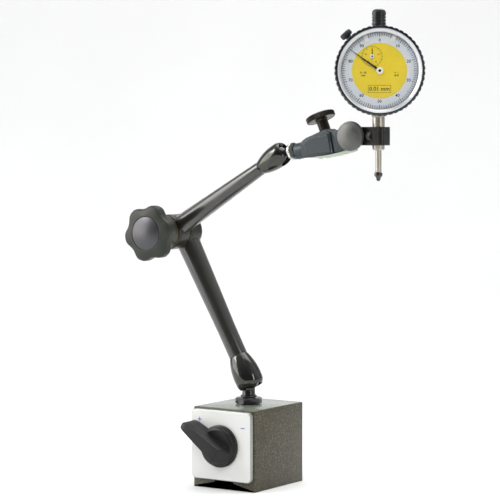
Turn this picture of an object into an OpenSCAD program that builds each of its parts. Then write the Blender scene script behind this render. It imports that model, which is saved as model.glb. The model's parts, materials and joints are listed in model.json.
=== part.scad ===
// Dial indicator held by an articulated arm on a switchable magnetic base.
// Millimetres. Origin: centre of the underside of the base. +Z is up and the face plate looks to -Y.

/* [Base] */
// Width of the base block, left to right
base_w = 50; // [48:0.5:54]
// Depth of the base block, front to back
base_d = 60; // [58:1:70]
// Height of the base block
base_h = 55; // [54:0.5:57]
// Width of the V groove at the underside
groove_w = 35; // [30:1:38]
// Height at which the V groove turns into the straight slot
groove_rise = 4; // [3:0.5:6]
// Width of the slot and of the non-magnetic spacer between the poles
spacer_w = 13.3; // [12:0.1:15]
// Height of the axis of the rotary magnet and its lever
switch_h = 30; // [29.5:0.25:30.5]
// Direction of the lever when switched on, above the horizontal to the left
lever_rise = 35; // [25:1:40]

/* [Lower arm] */
// Height of the centre of the lower ball
ball_h = 72; // [71:0.5:75]
// Radius of the lower ball
ball_r = 7.3; // [7:0.1:7.5]
// Lean of the lower arm from the vertical, to the left
lower_lean = 28.7; // [20:0.1:30]
// Length of the lower arm, ball centre to elbow axis
lower_len = 114; // [110:1:125]

/* [Elbow] */
// Radius of the two knuckles of the elbow
knuckle_r = 12.2; // [12:0.1:13]
// Distance from the plane of the lower arm to the plane of the upper arm
arm_offset = 14; // [14:0.1:14.5]
// Largest radius of the star knob
knob_r = 19.5; // [18:0.5:22]

/* [Upper arm] */
// Rise of the upper arm above the horizontal, to the right
upper_rise = 31.2; // [28:0.1:40]
// Length of the upper arm, elbow axis to upper ball centre
upper_len = 104; // [100:1:115]
// Radius of the upper ball
small_ball_r = 5.6; // [5.4:0.1:5.7]

/* [Head] */
// Rise of the head above the horizontal, to the right
head_rise = 11.5; // [8:0.1:15]
// Distance from the upper ball to the clamp screw of the jaw
head_len = 62.1; // [61.5:0.1:63]
// Width of the head, front to back
head_w = 12.5; // [12:0.1:13]
// Lean of the fine-adjust screw from the vertical, to the left
fine_lean = 23; // [22:0.5:24]

/* [Indicator] */
// Radius of the bezel
bezel_r = 29; // [28.8:0.1:29.5]
// Radius of the mounting stem
stem_r = 4; // [3.9:0.05:4]
// Length of stem below the bezel
stem_len = 21.8; // [20:0.1:24]
// Length of spindle below the stem when it is fully out
spindle_out = 14.4; // [13:0.1:16]
// Full travel of the spindle
travel = 10; // [8:0.5:10]
// Turn of the dial about its stem, from facing front to the right
dial_turn = 33.9; // [0:0.1:45]
// Angle of the main hand to the left of the top
main_hand_angle = 54.6; // [0:0.1:90]
// Angle of each limit hand from the top
limit_angle = 23; // [15:0.5:30]

/* [Hidden] */
$fn = 48;

// Radial running clearance of every shaft in its hole
run = 0.05;
// Overlap that makes a cut pass clean through a face
eps = 1;

// Rotary magnet
bore_r = 15;
plate_gap = 0.4;
plate_t = 3.2;
plate_front = -base_d / 2 - plate_gap - plate_t;
plate_low = 6.4;
plate_high = 54;
plate_w = base_w - 1.6;
cover_r = 18;
cover_t = 2;
shaft_r = 5;
shaft_plug = 18;
magnet_inset = 7;
magnet_len = base_d - cover_t - 1 - magnet_inset;
skirt_r = 14.3;

// Ball stud of the base
nut_h = 5;
nut_af = 16;
nut_turn = 41;
stud_thread_r = 4;
stud_depth = 8;
neck_r = 4.45;

// Ball sockets, ball seats and the push rods behind them
rod_r = 2.5;
socket_len = 17.5;
socket_mouth = 5.9;
seat_r = 5.4;
seat_top = 10.5;
upper_mouth = 5;
upper_socket_len = 17;
upper_seat_r = 4;
upper_seat_top = 8.6;
// Distance of a push rod tip from the elbow axis, at its centre and at its rim
tip_low = 4.05;
tip_high = 5.65;

// Elbow stack, measured along -Y from the plane of the lower arm
elbow_x = -lower_len * sin(lower_lean);
elbow_z = ball_h + lower_len * cos(lower_lean);
lower_knuckle_back = 7.4;
knuckle_split = arm_offset / 2;
upper_knuckle_front = arm_offset + 7;
collar_back = upper_knuckle_front + 1;
collar_front = collar_back + 9.2;
knob_back = collar_front + 0.1;
knob_front = knob_back + 13;
cap_front = knob_front + 5;
bolt_r = 3;
sleeve_r = 6;

// Upper ball and head
arm_y = -arm_offset;
ball2_x = elbow_x + upper_len * cos(upper_rise);
ball2_z = elbow_z + upper_len * sin(upper_rise);
small_neck_r = 2.9;
split_x = 45;
split_gap = 0.8;
flexure_z = -8.9;
fine_base_x = 38.3;
fine_base_z = 8.2;
fine_tilt = fine_lean - head_rise;
fine_reach = 9;
tip_r = 1.3;
tip_drop = fine_reach + 0.05 + tip_r;
tip_x = fine_base_x + tip_drop * sin(fine_tilt);
tip_z = fine_base_z - tip_drop * cos(fine_tilt);
nut_from = 8.9;
nut_to = 13.8;
body_from = 14;
neck_half = 5.4;
shoulder_x = 55.6;
bow_r = 103;
strip_t = 1.2;
leaf_screw_x = [32, 37];
leaf_pin_x = [50.5, 54];

// Jaw
pivot_x = ball2_x + head_len * cos(head_rise);
pivot_z = ball2_z + head_len * sin(head_rise);
jaw_half = 6;
jaw_len = 21.5;
stem_at = 15.3;
tongue_t = 4;
pinch_r = 2.5;

// Indicator: levels along the line of sight, from the stem axis towards the reader
stem_below_jaw = 3;
dial_x = pivot_x + stem_at;
dial_z = pivot_z - jaw_half - stem_below_jaw + stem_len + bezel_r;
stem_end = -bezel_r - stem_len;
spindle_end = stem_end - spindle_out;
spindle_r = 2;
spindle_top = 27.5;
cap_top = spindle_top + travel + 2.3;
back_level = -9;
case_back = -7.5;
plate_level = 2.4;
wheel_level = 4.2;
bridge_level = 5.6;
case_front = 7.4;
dial_level = 7.4;
small_hand_level = 8.7;
limit_level = 9.3;
main_hand_level = 10;
lens_level = 10.8;
ring_level = 12.3;
bezel_back = 4.75;
bezel_front = 13.8;
case_r = 26.2;
face_r = 24.8;
ring_r = 27;
lip_r = 25.65;
centre_r = 17.7;
sub_x = -4.8;
sub_z = 9.2;
case_wall = 2.2;
clamp_direction = 41.9;
pillar_r = 1.2;
pillar_at = 14;
post_x = 6;
post_z = -20;
flat_x = -1.45;

// Gear train: one turn of the rack pinion for the full 10 mm of rack, then a tenfold step up
rack_pitch = 0.625;
rack_teeth = 16;
rack_module = rack_pitch / PI;
rack_pinion_r = rack_module * rack_teeth / 2;
rack_line = sub_x + rack_pinion_r;
wheel_teeth = 100;
pinion_teeth = 10;
centre_distance = norm([sub_x, sub_z]);
wheel_module = 2 * centre_distance / (wheel_teeth + pinion_teeth);
wheel_r = wheel_module * wheel_teeth / 2;
pinion_r = wheel_module * pinion_teeth / 2;
mesh_angle = atan2(-sub_z, -sub_x);

// ---- Places ----

module in_lower_arm() {
    translate([0, 0, ball_h]) rotate([0, -lower_lean, 0]) children();
}

module at_elbow() {
    translate([elbow_x, 0, elbow_z]) children();
}

module in_upper_arm() {
    translate([elbow_x, arm_y, elbow_z]) rotate([0, 90 - upper_rise, 0]) children();
}

module in_upper_socket() {
    translate([ball2_x, arm_y, ball2_z]) rotate([0, -90 - upper_rise, 0]) children();
}

module in_head() {
    translate([ball2_x, arm_y, ball2_z]) rotate([0, -head_rise, 0]) children();
}

module in_fine_screw() {
    in_head() translate([fine_base_x, 0, fine_base_z]) rotate([0, -fine_tilt, 0]) children();
}

module in_jaw() {
    translate([pivot_x, arm_y, pivot_z]) children();
}

module in_dial() {
    translate([dial_x, arm_y, dial_z]) rotate([0, 0, dial_turn]) children();
}

// Turns a shape drawn upwards so that it grows towards the front, from the given level
module facing(level = 0) {
    translate([0, -level, 0]) rotate([90, 0, 0]) children();
}

// ---- Shared shapes ----

module ring(outer, inner, height) {
    difference() {
        cylinder(r = outer, h = height);
        translate([0, 0, -eps]) cylinder(r = inner, h = height + 2 * eps);
    }
}

// Disc with a 45 degree chamfer on its upper edge, and on the lower one too if both is set
module chamfered_disc(radius, height, chamfer, both = false) {
    low = both ? chamfer : 0;
    rotate_extrude()
        polygon([
            [0, 0], [radius - low, 0], [radius, low], [radius, height - chamfer],
            [radius - chamfer, height], [0, height]
        ]);
}

module rounded_square(size, radius) {
    x = size[0] / 2 - radius;
    y = size[1] / 2 - radius;
    square([size[0], 2 * y], center = true);
    square([2 * x, size[1]], center = true);
    for (sx = [-1, 1])
        for (sy = [-1, 1])
            translate([sx * x, sy * y]) circle(r = radius);
}

module hex_nut(across_flats, height, hole_r) {
    corner_r = across_flats / sqrt(3);
    difference() {
        intersection() {
            cylinder(r = corner_r, h = height, $fn = 6);
            chamfered_disc(corner_r - 0.1, height, 1, true);
        }
        translate([0, 0, -eps]) cylinder(r = hole_r, h = height + 2 * eps);
    }
}

// Points of a knurled outline: count ridges of the given depth
function knurl(radius, depth, count) = [
    for (i = [0 : 2 * count - 1])
        let (r = radius - (i % 2) * depth, a = 180 * i / count)
            [r * cos(a), r * sin(a)]
];

module knurled_disc(radius, depth, count, height, chamfer) {
    intersection() {
        linear_extrude(height) polygon(knurl(radius, depth, count));
        chamfered_disc(radius + 0.03, height, chamfer, true);
    }
}

// Straight-flanked gear outline with a tooth centred on the given angle
function gear_outline(teeth, pitch_r, gear_module, phase, share = 0.38) = [
    for (i = [0 : teeth - 1])
        let (
            a = phase + 360 * i / teeth,
            half = 90 * share * 2 / teeth,
            lean = 0.42 * half,
            root = pitch_r - 0.95 * gear_module,
            tip = pitch_r + 0.6 * gear_module
        )
        each [
            root * [cos(a - half - lean), sin(a - half - lean)],
            tip * [cos(a - half + lean), sin(a - half + lean)],
            tip * [cos(a + half - lean), sin(a + half - lean)],
            root * [cos(a + half + lean), sin(a + half + lean)]
        ]
];

// Barrel-shaped ball socket. The ball is at its origin, the arm leaves along +Z and the mouth is
// below. A slot on the -X side lets the stud swing far out to that side.
module ball_socket(ball, widest, mouth, length, end_r, seat_bore, slot_r, slot_top) {
    belly = length * 0.1;
    drop = widest - end_r;
    arc_r = (pow(length - belly, 2) + drop * drop) / (2 * drop);
    difference() {
        rotate_extrude($fn = 96)
            intersection() {
                translate([0, -mouth]) square([widest + eps, mouth + length]);
                translate([widest - arc_r, belly]) circle(r = arc_r, $fn = 96);
            }
        sphere(r = ball + run);
        translate([0, 0, -mouth - eps]) cylinder(r = ball * 0.92, h = mouth + eps);
        translate([0, 0, -mouth - 0.01])
            cylinder(r1 = widest * 0.88, r2 = ball * 0.9, h = mouth * 0.3);
        cylinder(r = seat_bore, h = length + eps);
        translate([0, 0, slot_top - slot_r]) rotate([0, -90, 0]) cylinder(r = slot_r, h = widest + eps);
        translate([-widest - eps, -slot_r, -mouth - eps])
            cube([widest + eps, 2 * slot_r, mouth + eps + slot_top - slot_r]);
    }
}

// Cup that presses on the ball, with its hollow at the origin side
module ball_seat(ball, radius, from, to) {
    difference() {
        translate([0, 0, from]) cylinder(r = radius, h = to - from);
        sphere(r = ball + 2 * run);
    }
}

// ---- Magnetic base ----

module base_envelope() {
    edge = 1.6;
    intersection() {
        linear_extrude(base_h) rounded_square([base_w, base_d], edge);
        translate([0, base_d / 2, base_h / 2 - edge])
            rotate([90, 0, 0])
                linear_extrude(base_d)
                    rounded_square([base_w, base_h + 2 * edge], edge);
    }
}

// Everything hollowed out of the block: V groove, slot, magnet bore and cover recess
module base_hollows() {
    translate([0, base_d / 2 + eps, 0])
        rotate([90, 0, 0])
            linear_extrude(base_d + 2 * eps)
                polygon([
                    [-groove_w / 2 - eps, -eps], [-groove_w / 2, 0], [-spacer_w / 2, groove_rise],
                    [spacer_w / 2, groove_rise], [groove_w / 2, 0], [groove_w / 2 + eps, -eps]
                ]);
    translate([0, -base_d / 2 - eps, switch_h]) rotate([-90, 0, 0])
        cylinder(r = bore_r, h = base_d + 2 * eps);
    translate([0, base_d / 2 - cover_t, switch_h]) rotate([-90, 0, 0])
        cylinder(r = cover_r + run, h = cover_t + eps);
}

module pole(side) {
    difference() {
        intersection() {
            base_envelope();
            translate([side > 0 ? spacer_w / 2 : -base_w, -base_d, 0])
                cube([base_w - (side > 0 ? 0 : spacer_w / 2), 2 * base_d, base_h]);
        }
        base_hollows();
    }
}

module pole_left() {
    color("#5f584b") pole(-1);
}

module pole_right() {
    color("#5f584b") pole(1);
}

module pole_spacer() {
    slot_depth = 7;
    color("#a5aca0")
        difference() {
            intersection() {
                base_envelope();
                translate([-spacer_w / 2, -base_d, slot_depth]) cube([spacer_w, 2 * base_d, base_h]);
            }
            base_hollows();
            translate([0, 0, base_h - stud_depth - 0.5]) cylinder(r = stud_thread_r + run, h = base_h);
        }
}

module face_plate() {
    color("#f0f0ee")
        translate([0, -base_d / 2 - plate_gap, (plate_low + plate_high) / 2])
            rotate([90, 0, 0])
                difference() {
                    linear_extrude(plate_t) rounded_square([plate_w, plate_high - plate_low], 3);
                    translate([0, switch_h - (plate_low + plate_high) / 2, -eps])
                        cylinder(r = shaft_r + 1 + run, h = plate_t + 2 * eps);
                }
}

module rear_cover() {
    color("#a5aca0")
        translate([0, base_d / 2 - cover_t, switch_h]) rotate([-90, 0, 0]) cylinder(r = cover_r, h = cover_t);
}

module lock_nut() {
    color("#1b1b1c")
        translate([0, 0, base_h]) rotate([0, 0, nut_turn]) hex_nut(nut_af, nut_h, stud_thread_r + run);
}

// The magnet fills the bore between the face plate and the rear cover
module magnet_rotor() {
    color("#55585a")
        translate([0, base_d / 2 - cover_t - 1, switch_h]) rotate([90, 0, 0])
            difference() {
                cylinder(r = bore_r - run, h = magnet_len);
                translate([0, 0, magnet_len - shaft_plug]) cylinder(r = shaft_r, h = shaft_plug + eps);
            }
}

module rotor_shaft() {
    reach = plate_gap + plate_t + magnet_inset + shaft_plug + 3.3;
    color("#8d8f8f")
        translate([0, -base_d / 2 + magnet_inset + shaft_plug - 0.1, switch_h]) rotate([90, 0, 0])
            union() {
                cylinder(r = shaft_r - 0.02, h = reach - 6);
                cylinder(r = shaft_r - 1, h = reach);
            }
}

// Skirt with a stepped edge, and a tall tapered grip that runs past the skirt on one side
module switch_lever() {
    skirt_t = 6;
    rise = 17.5;
    color("#232524")
        translate([0, plate_front - 0.4, switch_h]) rotate([90, 0, 0])
            difference() {
                union() {
                    chamfered_disc(skirt_r, 3, 0.6);
                    translate([0, 0, 3]) chamfered_disc(skirt_r - 1.2, skirt_t - 3, 1.2);
                    rotate([0, 0, 180 - lever_rise]) lever_grip(skirt_t - 1, rise);
                }
                translate([0, 0, -eps]) cylinder(r = shaft_r + 0.02, h = plate_gap + 4);
            }
}

// Grip along +X: a wedge that is wide and low at the heel and narrow and high at the tip
module lever_grip(foot, rise) {
    hull() {
        translate([-9.1, 0, foot - 3]) cylinder(r = 4.5, h = 2.7, $fn = 24);
        translate([-8.5, 0, rise - 4]) cylinder(r = 2.4, h = 1, $fn = 24);
        translate([24, 0, foot + 1.3]) cylinder(r = 3.2, h = 1, $fn = 24);
        translate([24, 0, rise - 1]) cylinder(r = 2.3, h = 1, $fn = 24);
    }
}

module ball_stud() {
    color("#2b2b2c")
        union() {
            translate([0, 0, base_h - stud_depth]) cylinder(r = stud_thread_r, h = stud_depth + nut_h + 1);
            translate([0, 0, base_h + nut_h + 0.2]) cylinder(r1 = 5.4, r2 = 5, h = 1.2);
            translate([0, 0, base_h + nut_h + 0.2]) cylinder(r = neck_r, h = ball_h - base_h - nut_h);
            translate([0, 0, ball_h]) sphere(r = ball_r);
        }
}

// ---- Lower arm ----

module lower_socket() {
    color("#3b3f41")
        in_lower_arm()
            ball_socket(ball_r, 9.75, socket_mouth, socket_len, 6.6, seat_r + run, 4.8, 2.2);
}

module lower_seat() {
    color("#b0a070") in_lower_arm() ball_seat(ball_r, seat_r, 3.4, seat_top);
}

module push_rod(start, length) {
    translate([0, 0, start]) cylinder(r = rod_r, h = length - tip_high - start);
    translate([0, 0, length - tip_high])
        cylinder(r1 = rod_r, r2 = 0.3, h = tip_high - tip_low);
}

module lower_push_rod() {
    color("#8d8f8f") in_lower_arm() push_rod(seat_top + 0.05, lower_len);
}

// Tapered tube from the socket to the knuckle, along +Z
module arm_tube(spigot_from, spigot_r, from, taper_from, r_low, r_high, to) {
    difference() {
        union() {
            translate([0, 0, spigot_from]) cylinder(r = spigot_r, h = from - spigot_from + 0.01);
            translate([0, 0, from]) cylinder(r = r_low, h = taper_from - from);
            translate([0, 0, taper_from]) cylinder(r1 = r_low, r2 = r_high, h = to - taper_from);
        }
        translate([0, 0, spigot_from - eps]) cylinder(r = rod_r + 2 * run, h = to);
    }
}

module lower_tube() {
    color("#3a3a38")
        difference() {
            in_lower_arm()
                arm_tube(seat_top + 1, seat_r - 0.02, socket_len + 0.02, 38, 6.5, 8.2, lower_len);
            at_elbow() translate([0, 40, 0]) rotate([90, 0, 0]) cylinder(r = knuckle_r + 0.02, h = 80);
        }
}

module lower_knuckle() {
    back = lower_knuckle_back;
    height = back + knuckle_split - 0.15;
    color("#343536")
        difference() {
            at_elbow() translate([0, back, 0]) rotate([90, 0, 0]) knuckle(height, sleeve_r + run);
            in_lower_arm() translate([0, 0, lower_len / 2]) cylinder(r = rod_r + 2 * run, h = lower_len / 2);
        }
}

// Round knuckle with softened edges, along +Z
module knuckle(height, bore) {
    edge = 2.4;
    difference() {
        rotate_extrude($fn = 96) {
            translate([0, edge]) square([knuckle_r, height - 2 * edge]);
            square([knuckle_r - edge, height]);
            translate([knuckle_r - edge, edge]) circle(r = edge);
            translate([knuckle_r - edge, height - edge]) circle(r = edge);
        }
        translate([0, 0, -eps]) cylinder(r = bore, h = height + 2 * eps);
    }
}

// Bolt through the elbow, with a domed head at the back
module elbow_bolt() {
    head_r = 8;
    color("#2b2b2c")
        at_elbow() translate([0, lower_knuckle_back + 3, 0]) rotate([90, 0, 0])
            union() {
                rotate_extrude($fn = 64)
                    intersection() {
                        square([head_r, 2.9]);
                        translate([0, 15]) circle(r = 15.0);
                    }
                cylinder(r = bolt_r, h = lower_knuckle_back + 3 + knob_front - 2);
            }
}

// ---- Elbow clamp ----

module elbow_collar() {
    length = collar_front - collar_back;
    groove = 0.35;
    color("#45463d")
        at_elbow() translate([0, -collar_back, 0]) rotate([90, 0, 0])
            difference() {
                rotate_extrude($fn = 96)
                    difference() {
                        polygon([
                            [0, 0], [11, 0], [11.9, 0.8], [11.9, length - 1.6], [11, length], [0, length]
                        ]);
                        for (i = [1 : 4])
                            translate([12.1, 0.9 + i * 1.3]) circle(r = groove, $fn = 24);
                    }
                translate([0, 0, -eps]) cylinder(r = bolt_r + run, h = length + 2 * eps);
            }
}

// Sleeve on the bolt. Each groove has one sloping side that drives a push rod outwards.
module elbow_wedge() {
    groove_floor = 3.5;
    color("#9a9c9a")
        at_elbow() translate([0, lower_knuckle_back - 1, 0]) rotate([90, 0, 0])
            difference() {
                cylinder(r = sleeve_r, h = collar_back + lower_knuckle_back - 1 - 0.02);
                translate([0, 0, -eps]) cylinder(r = bolt_r + run, h = 60);
                for (plane = [0, arm_offset])
                    translate([0, 0, lower_knuckle_back - 1 + plane])
                        rotate_extrude()
                            polygon([
                                [groove_floor, -2], [groove_floor, -0.35],
                                [sleeve_r + 0.01, 3.1], [sleeve_r + eps, 3.1],
                                [sleeve_r + eps, -3.5], [sleeve_r - 0.6, -3.5]
                            ]);
            }
}

function star(radius, wave, lobes, points) = [
    for (i = [0 : points - 1])
        let (a = 360 * i / points, r = radius - wave + wave * cos(lobes * a))
            [r * sin(a), r * cos(a)]
];

module star_knob() {
    length = knob_front - knob_back;
    lobe_turn = 23;
    color("#4a4f48")
        at_elbow() translate([0, -knob_back, 0]) rotate([90, 0, 0])
            difference() {
                intersection() {
                    rotate([0, 0, -lobe_turn]) linear_extrude(length) polygon(star(knob_r, 2.5, 6, 96));
                    rotate_extrude($fn = 96)
                        polygon([
                            [0, 0], [12, 0], [13, 1.6], [knob_r - 2, 3.4], [knob_r, 5.4],
                            [knob_r, length - 3.2], [knob_r - 2.2, length - 1.2], [13, length], [0, length]
                        ]);
                }
                translate([0, 0, -eps]) cylinder(r = bolt_r + run, h = length + 2 * eps);
            }
}

module knob_cap() {
    dome_r = 16;
    cap_r = 11.25;
    color("#6d747c")
        at_elbow() translate([0, -knob_front - 0.02, 0]) rotate([90, 0, 0])
            rotate_extrude($fn = 96)
                intersection() {
                    square([cap_r, cap_front - knob_front]);
                    translate([0, cap_front - knob_front - dome_r]) circle(r = dome_r, $fn = 96);
                }
}

// ---- Upper arm ----

module upper_knuckle() {
    back = knuckle_split + 0.15;
    color("#343536")
        difference() {
            at_elbow() translate([0, -back, 0]) rotate([90, 0, 0])
                knuckle(upper_knuckle_front - back, sleeve_r + run);
            in_upper_arm() cylinder(r = rod_r + 2 * run, h = upper_len / 2);
        }
}

module upper_tube() {
    color("#3a3a38")
        difference() {
            in_upper_socket()
                difference() {
                    union() {
                        translate([0, 0, upper_seat_top + 1])
                            cylinder(r = upper_seat_r - 0.02, h = upper_socket_len - upper_seat_top - 0.9);
                        translate([0, 0, upper_socket_len + 0.02])
                            cylinder(r1 = 4.65, r2 = 7, h = upper_len - upper_socket_len);
                    }
                    translate([0, 0, upper_seat_top]) cylinder(r = rod_r + 2 * run, h = upper_len);
                }
            at_elbow() translate([0, 40, 0]) rotate([90, 0, 0]) cylinder(r = knuckle_r + 0.02, h = 80);
        }
}

module upper_socket() {
    color("#3b3f41")
        in_upper_socket()
            ball_socket(small_ball_r, 7.9, upper_mouth, upper_socket_len, 4.75, upper_seat_r + run, 3.3, 1.6);
}

module upper_seat() {
    color("#b0a070") in_upper_socket() ball_seat(small_ball_r, upper_seat_r, 2.6, upper_seat_top);
}

module upper_push_rod() {
    color("#8d8f8f") in_upper_socket() push_rod(upper_seat_top + 0.05, upper_len);
}

// ---- Head ----

module head_stud() {
    color("#2f3031")
        in_head() rotate([0, 90, 0])
            union() {
                sphere(r = small_ball_r);
                cylinder(r = small_neck_r, h = nut_from + 8);
                translate([0, 0, nut_from - 2]) cylinder(r1 = small_neck_r, r2 = 3.2, h = 1.9);
            }
}

module head_nut() {
    color("#c9ccc8")
        in_head() translate([nut_from, 0, 0]) rotate([0, 90, 0]) rotate([0, 0, 15])
            hex_nut(10, nut_to - nut_from, small_neck_r + run);
}

// Height of the lower face of the leaf spring in the head frame
function strip_low(x) = flexure_z - 0.5 + bow_r - sqrt(bow_r * bow_r - pow(x - split_x, 2));

// Height of a seat that lies on the upper face of the leaf spring
function strip_seat(x) = strip_low(x) + strip_t + 0.04;

module head_body() {
    color("#4b5558")
        difference() {
            in_head()
                union() {
                    translate([body_from, 0, -0.7]) rotate([0, 90, 0]) cylinder(r = neck_half, h = 10);
                    translate([0, head_w / 2, 0]) rotate([90, 0, 0])
                        linear_extrude(head_w)
                            polygon([
                                [21, -5], [22.6, -6.9], [29.5, strip_seat(29.5)], [33.5, strip_seat(33.5)],
                                [38.5, strip_seat(38.5)], [39, -7.9], [split_x, -7.9], [split_x, 6.3],
                                [fine_base_x + 4.3, fine_base_z + 4.3 * sin(fine_tilt)],
                                [fine_base_x - 4.3, fine_base_z - 4.3 * sin(fine_tilt)],
                                [26, 6.2], [22.6, 4.8], [21, 3]
                            ]);
                }
            in_head() translate([split_x - 12, -3.2, -6.6]) cube([12 + eps, 6.4, 6.1]);
            in_head() rotate([0, 90, 0]) cylinder(r = small_neck_r + run, h = nut_from + 9);
            in_fine_screw() translate([0, 0, -12]) cylinder(r = 2 + run, h = 14);
            in_head() for (x = leaf_screw_x)
                translate([x, 0, -10]) cylinder(r = 1.05, h = 3.1);
        }
}

// Thin strip that bows down between the head body and the carrier
module leaf_spring() {
    left = 15.5;
    right = 13.5;
    strip_w = 9;
    color("#b9c2b4")
        in_head() translate([split_x, strip_w / 2, bow_r + flexure_z - 0.5]) rotate([90, 0, 0])
            difference() {
                intersection() {
                    linear_extrude(strip_w) difference() {
                        circle(r = bow_r, $fn = 128);
                        circle(r = bow_r - strip_t, $fn = 128);
                    }
                    translate([-left, -bow_r - eps, -eps]) cube([left + right, 20, strip_w + 2 * eps]);
                }
                for (x = concat(leaf_screw_x, leaf_pin_x))
                    translate([x - split_x, 0, strip_w / 2]) rotate([90, 0, 0])
                        cylinder(r = 1.05, h = 2 * bow_r);
            }
}

// Low head under the leaf spring with a shank that goes up through it
module strip_rivet(x, away) {
    head_t = 0.5;
    low = strip_low(x + away * 1.8) - head_t - 0.04;
    translate([x, 0, low]) chamfered_disc(1.8, head_t, 0.2, true);
    translate([x, 0, low + 0.1]) cylinder(r = 0.95, h = -7.05 - low);
}

module leaf_screws() {
    color("#9a9c9a")
        in_head() for (x = leaf_screw_x) strip_rivet(x, 1);
}

// Knurled thumb screw
module fine_screw() {
    color("#33332f")
        in_fine_screw()
            union() {
                translate([0, 0, -fine_reach]) cylinder(r = 2, h = fine_reach + 3);
                translate([0, 0, 0.3]) cylinder(r = 3.8, h = 8);
                translate([0, 0, 8]) rotate([0, 0, 4]) knurled_disc(9.8, 0.35, 48, 3.6, 0.5);
            }
}

// Ball that the thumb screw pushes on the tail of the carrier
module fine_screw_tip() {
    color("#c0b080") in_fine_screw() translate([0, 0, -tip_drop]) sphere(r = tip_r);
}

// Carrier: tail under the screw, block behind the split, tongue between the cheeks of the jaw
module head_carrier() {
    from = split_x + split_gap;
    tail_top = tip_z - tip_r - 0.03;
    color("#4b5558")
        in_head()
            difference() {
                union() {
                    translate([0, head_w / 2, 0]) rotate([90, 0, 0])
                        linear_extrude(head_w)
                            polygon([
                                [from, -7.9], [48, -7.9], [48.5, strip_seat(48.5)], [52, strip_seat(52)],
                                [shoulder_x, strip_seat(shoulder_x)], [shoulder_x, 5], [53.5, 6.4], [from, 6.6]
                            ]);
                    for (x = leaf_pin_x) strip_rivet(x, -1);
                    translate([split_x - 8.5, -2.6, tail_top - 2.4]) cube([10, 5.2, 2.4]);
                    translate([shoulder_x - eps, -tongue_t / 2, -jaw_half + 0.3])
                        cube([head_len - shoulder_x + eps, tongue_t, 2 * jaw_half - 0.6]);
                    translate([head_len, tongue_t / 2, 0]) rotate([90, 0, 0])
                        cylinder(r = jaw_half - 0.3, h = tongue_t);
                }
                translate([head_len, head_w, 0]) rotate([90, 0, 0]) cylinder(r = pinch_r + run, h = 2 * head_w);
            }
}

// ---- Jaw ----

module jaw() {
    half_w = 6;
    end_r = 2.8;
    color("#191a18")
        in_jaw()
            difference() {
                intersection() {
                    union() {
                        rotate([90, 0, 0]) translate([0, 0, -half_w]) cylinder(r = jaw_half, h = 2 * half_w);
                        translate([0, -half_w, -jaw_half]) cube([jaw_len, 2 * half_w, 2 * jaw_half]);
                    }
                    translate([jaw_len - 20, 0, -jaw_half - eps])
                        linear_extrude(2 * jaw_half + 2 * eps) rounded_square([40, 2 * half_w], end_r);
                }
                translate([-jaw_half - eps, -tongue_t / 2 - run, -jaw_half - eps])
                    cube([jaw_half + eps + stem_at, tongue_t + 2 * run, 2 * jaw_half + 2 * eps]);
                translate([stem_at, 0, -jaw_half - eps])
                    cylinder(r = stem_r + 0.03, h = 2 * jaw_half + 2 * eps);
                translate([12.2, half_w + eps, 0]) rotate([90, 0, 0])
                    cylinder(r = 2.8, h = 2 * half_w + 2 * eps);
                translate([0, half_w + eps, 0]) rotate([90, 0, 0])
                    cylinder(r = pinch_r + run, h = 2 * half_w + 2 * eps);
            }
}

module jaw_washer() {
    color("#8d8f8f")
        in_jaw() facing(6.1) ring(4.6, pinch_r + run, 0.9);
}

// Knurled clamp knob with its screw through jaw and carrier
module jaw_knob() {
    color("#6f7478")
        in_jaw()
            union() {
                facing(-7) cylinder(r = pinch_r, h = 15);
                facing(7.05) cylinder(r = 5, h = 1.2);
                facing(8) knurled_disc(9.6, 0.3, 56, 3.4, 0.5);
            }
}

// ---- Indicator case ----

// Vertical hole on the stem axis, between two heights of the dial frame
module stem_hole(radius, from, to) {
    translate([0, 0, from]) cylinder(r = radius, h = to - from);
}

module indicator_case() {
    color("#1d1f22")
        in_dial()
            difference() {
                union() {
                    facing(case_back) ring(case_r, case_r - case_wall, case_front - case_back);
                    facing(plate_level - 1.3) ring(case_r - 0.5, 21.6, 1.2);
                    intersection() {
                        facing(case_back) cylinder(r = case_r, h = plate_level - case_back - 0.1);
                        union() {
                            stem_hole(5.5, -case_r, -22.5);
                            stem_hole(5.5, 22.5, case_r);
                        }
                    }
                    rotate([0, -clamp_direction, 0]) stem_hole(3.4, case_r - 1, case_r + 2.2);
                }
                stem_hole(3.5 + run, -40, -23);
                stem_hole(3.5 + run, 23, 40);
                stem_hole(spindle_r + run, -24, 24);
                rotate([0, -clamp_direction, 0]) stem_hole(1.5 + run, case_r - 1.5, 40);
                facing(plate_level - 2.5) for (a = [30, 150, 270])
                    rotate([0, 0, a]) translate([22.7, 0, 0]) cylinder(r = 0.6, h = 4);
                facing(case_back - eps) for (a = [45 : 90 : 315])
                    rotate([0, 0, a]) translate([25, 0, 0]) cylinder(r = 0.8, h = 5);
            }
}

module back_cover() {
    color("#1d1f22")
        in_dial() facing(case_back)
            rotate([180, 0, 0])
                difference() {
                    chamfered_disc(case_r, case_back - back_level, 0.5);
                    for (a = [45 : 90 : 315])
                        rotate([0, 0, a]) translate([25, 0, -eps]) cylinder(r = 0.85, h = 10);
                }
}

module back_cover_screws() {
    color("#c0c2c0")
        in_dial() facing(case_back)
            rotate([180, 0, 0])
                for (a = [45 : 90 : 315])
                    rotate([0, 0, a]) translate([25, 0, 0])
                        union() {
                            translate([0, 0, -4]) cylinder(r = 0.75, h = 5.6);
                            translate([0, 0, case_back - back_level + 0.05])
                                difference() {
                                    chamfered_disc(1.5, 0.8, 0.25);
                                    translate([-2, -0.2, 0.4]) cube([4, 0.4, 1]);
                                }
                        }
}

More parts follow.
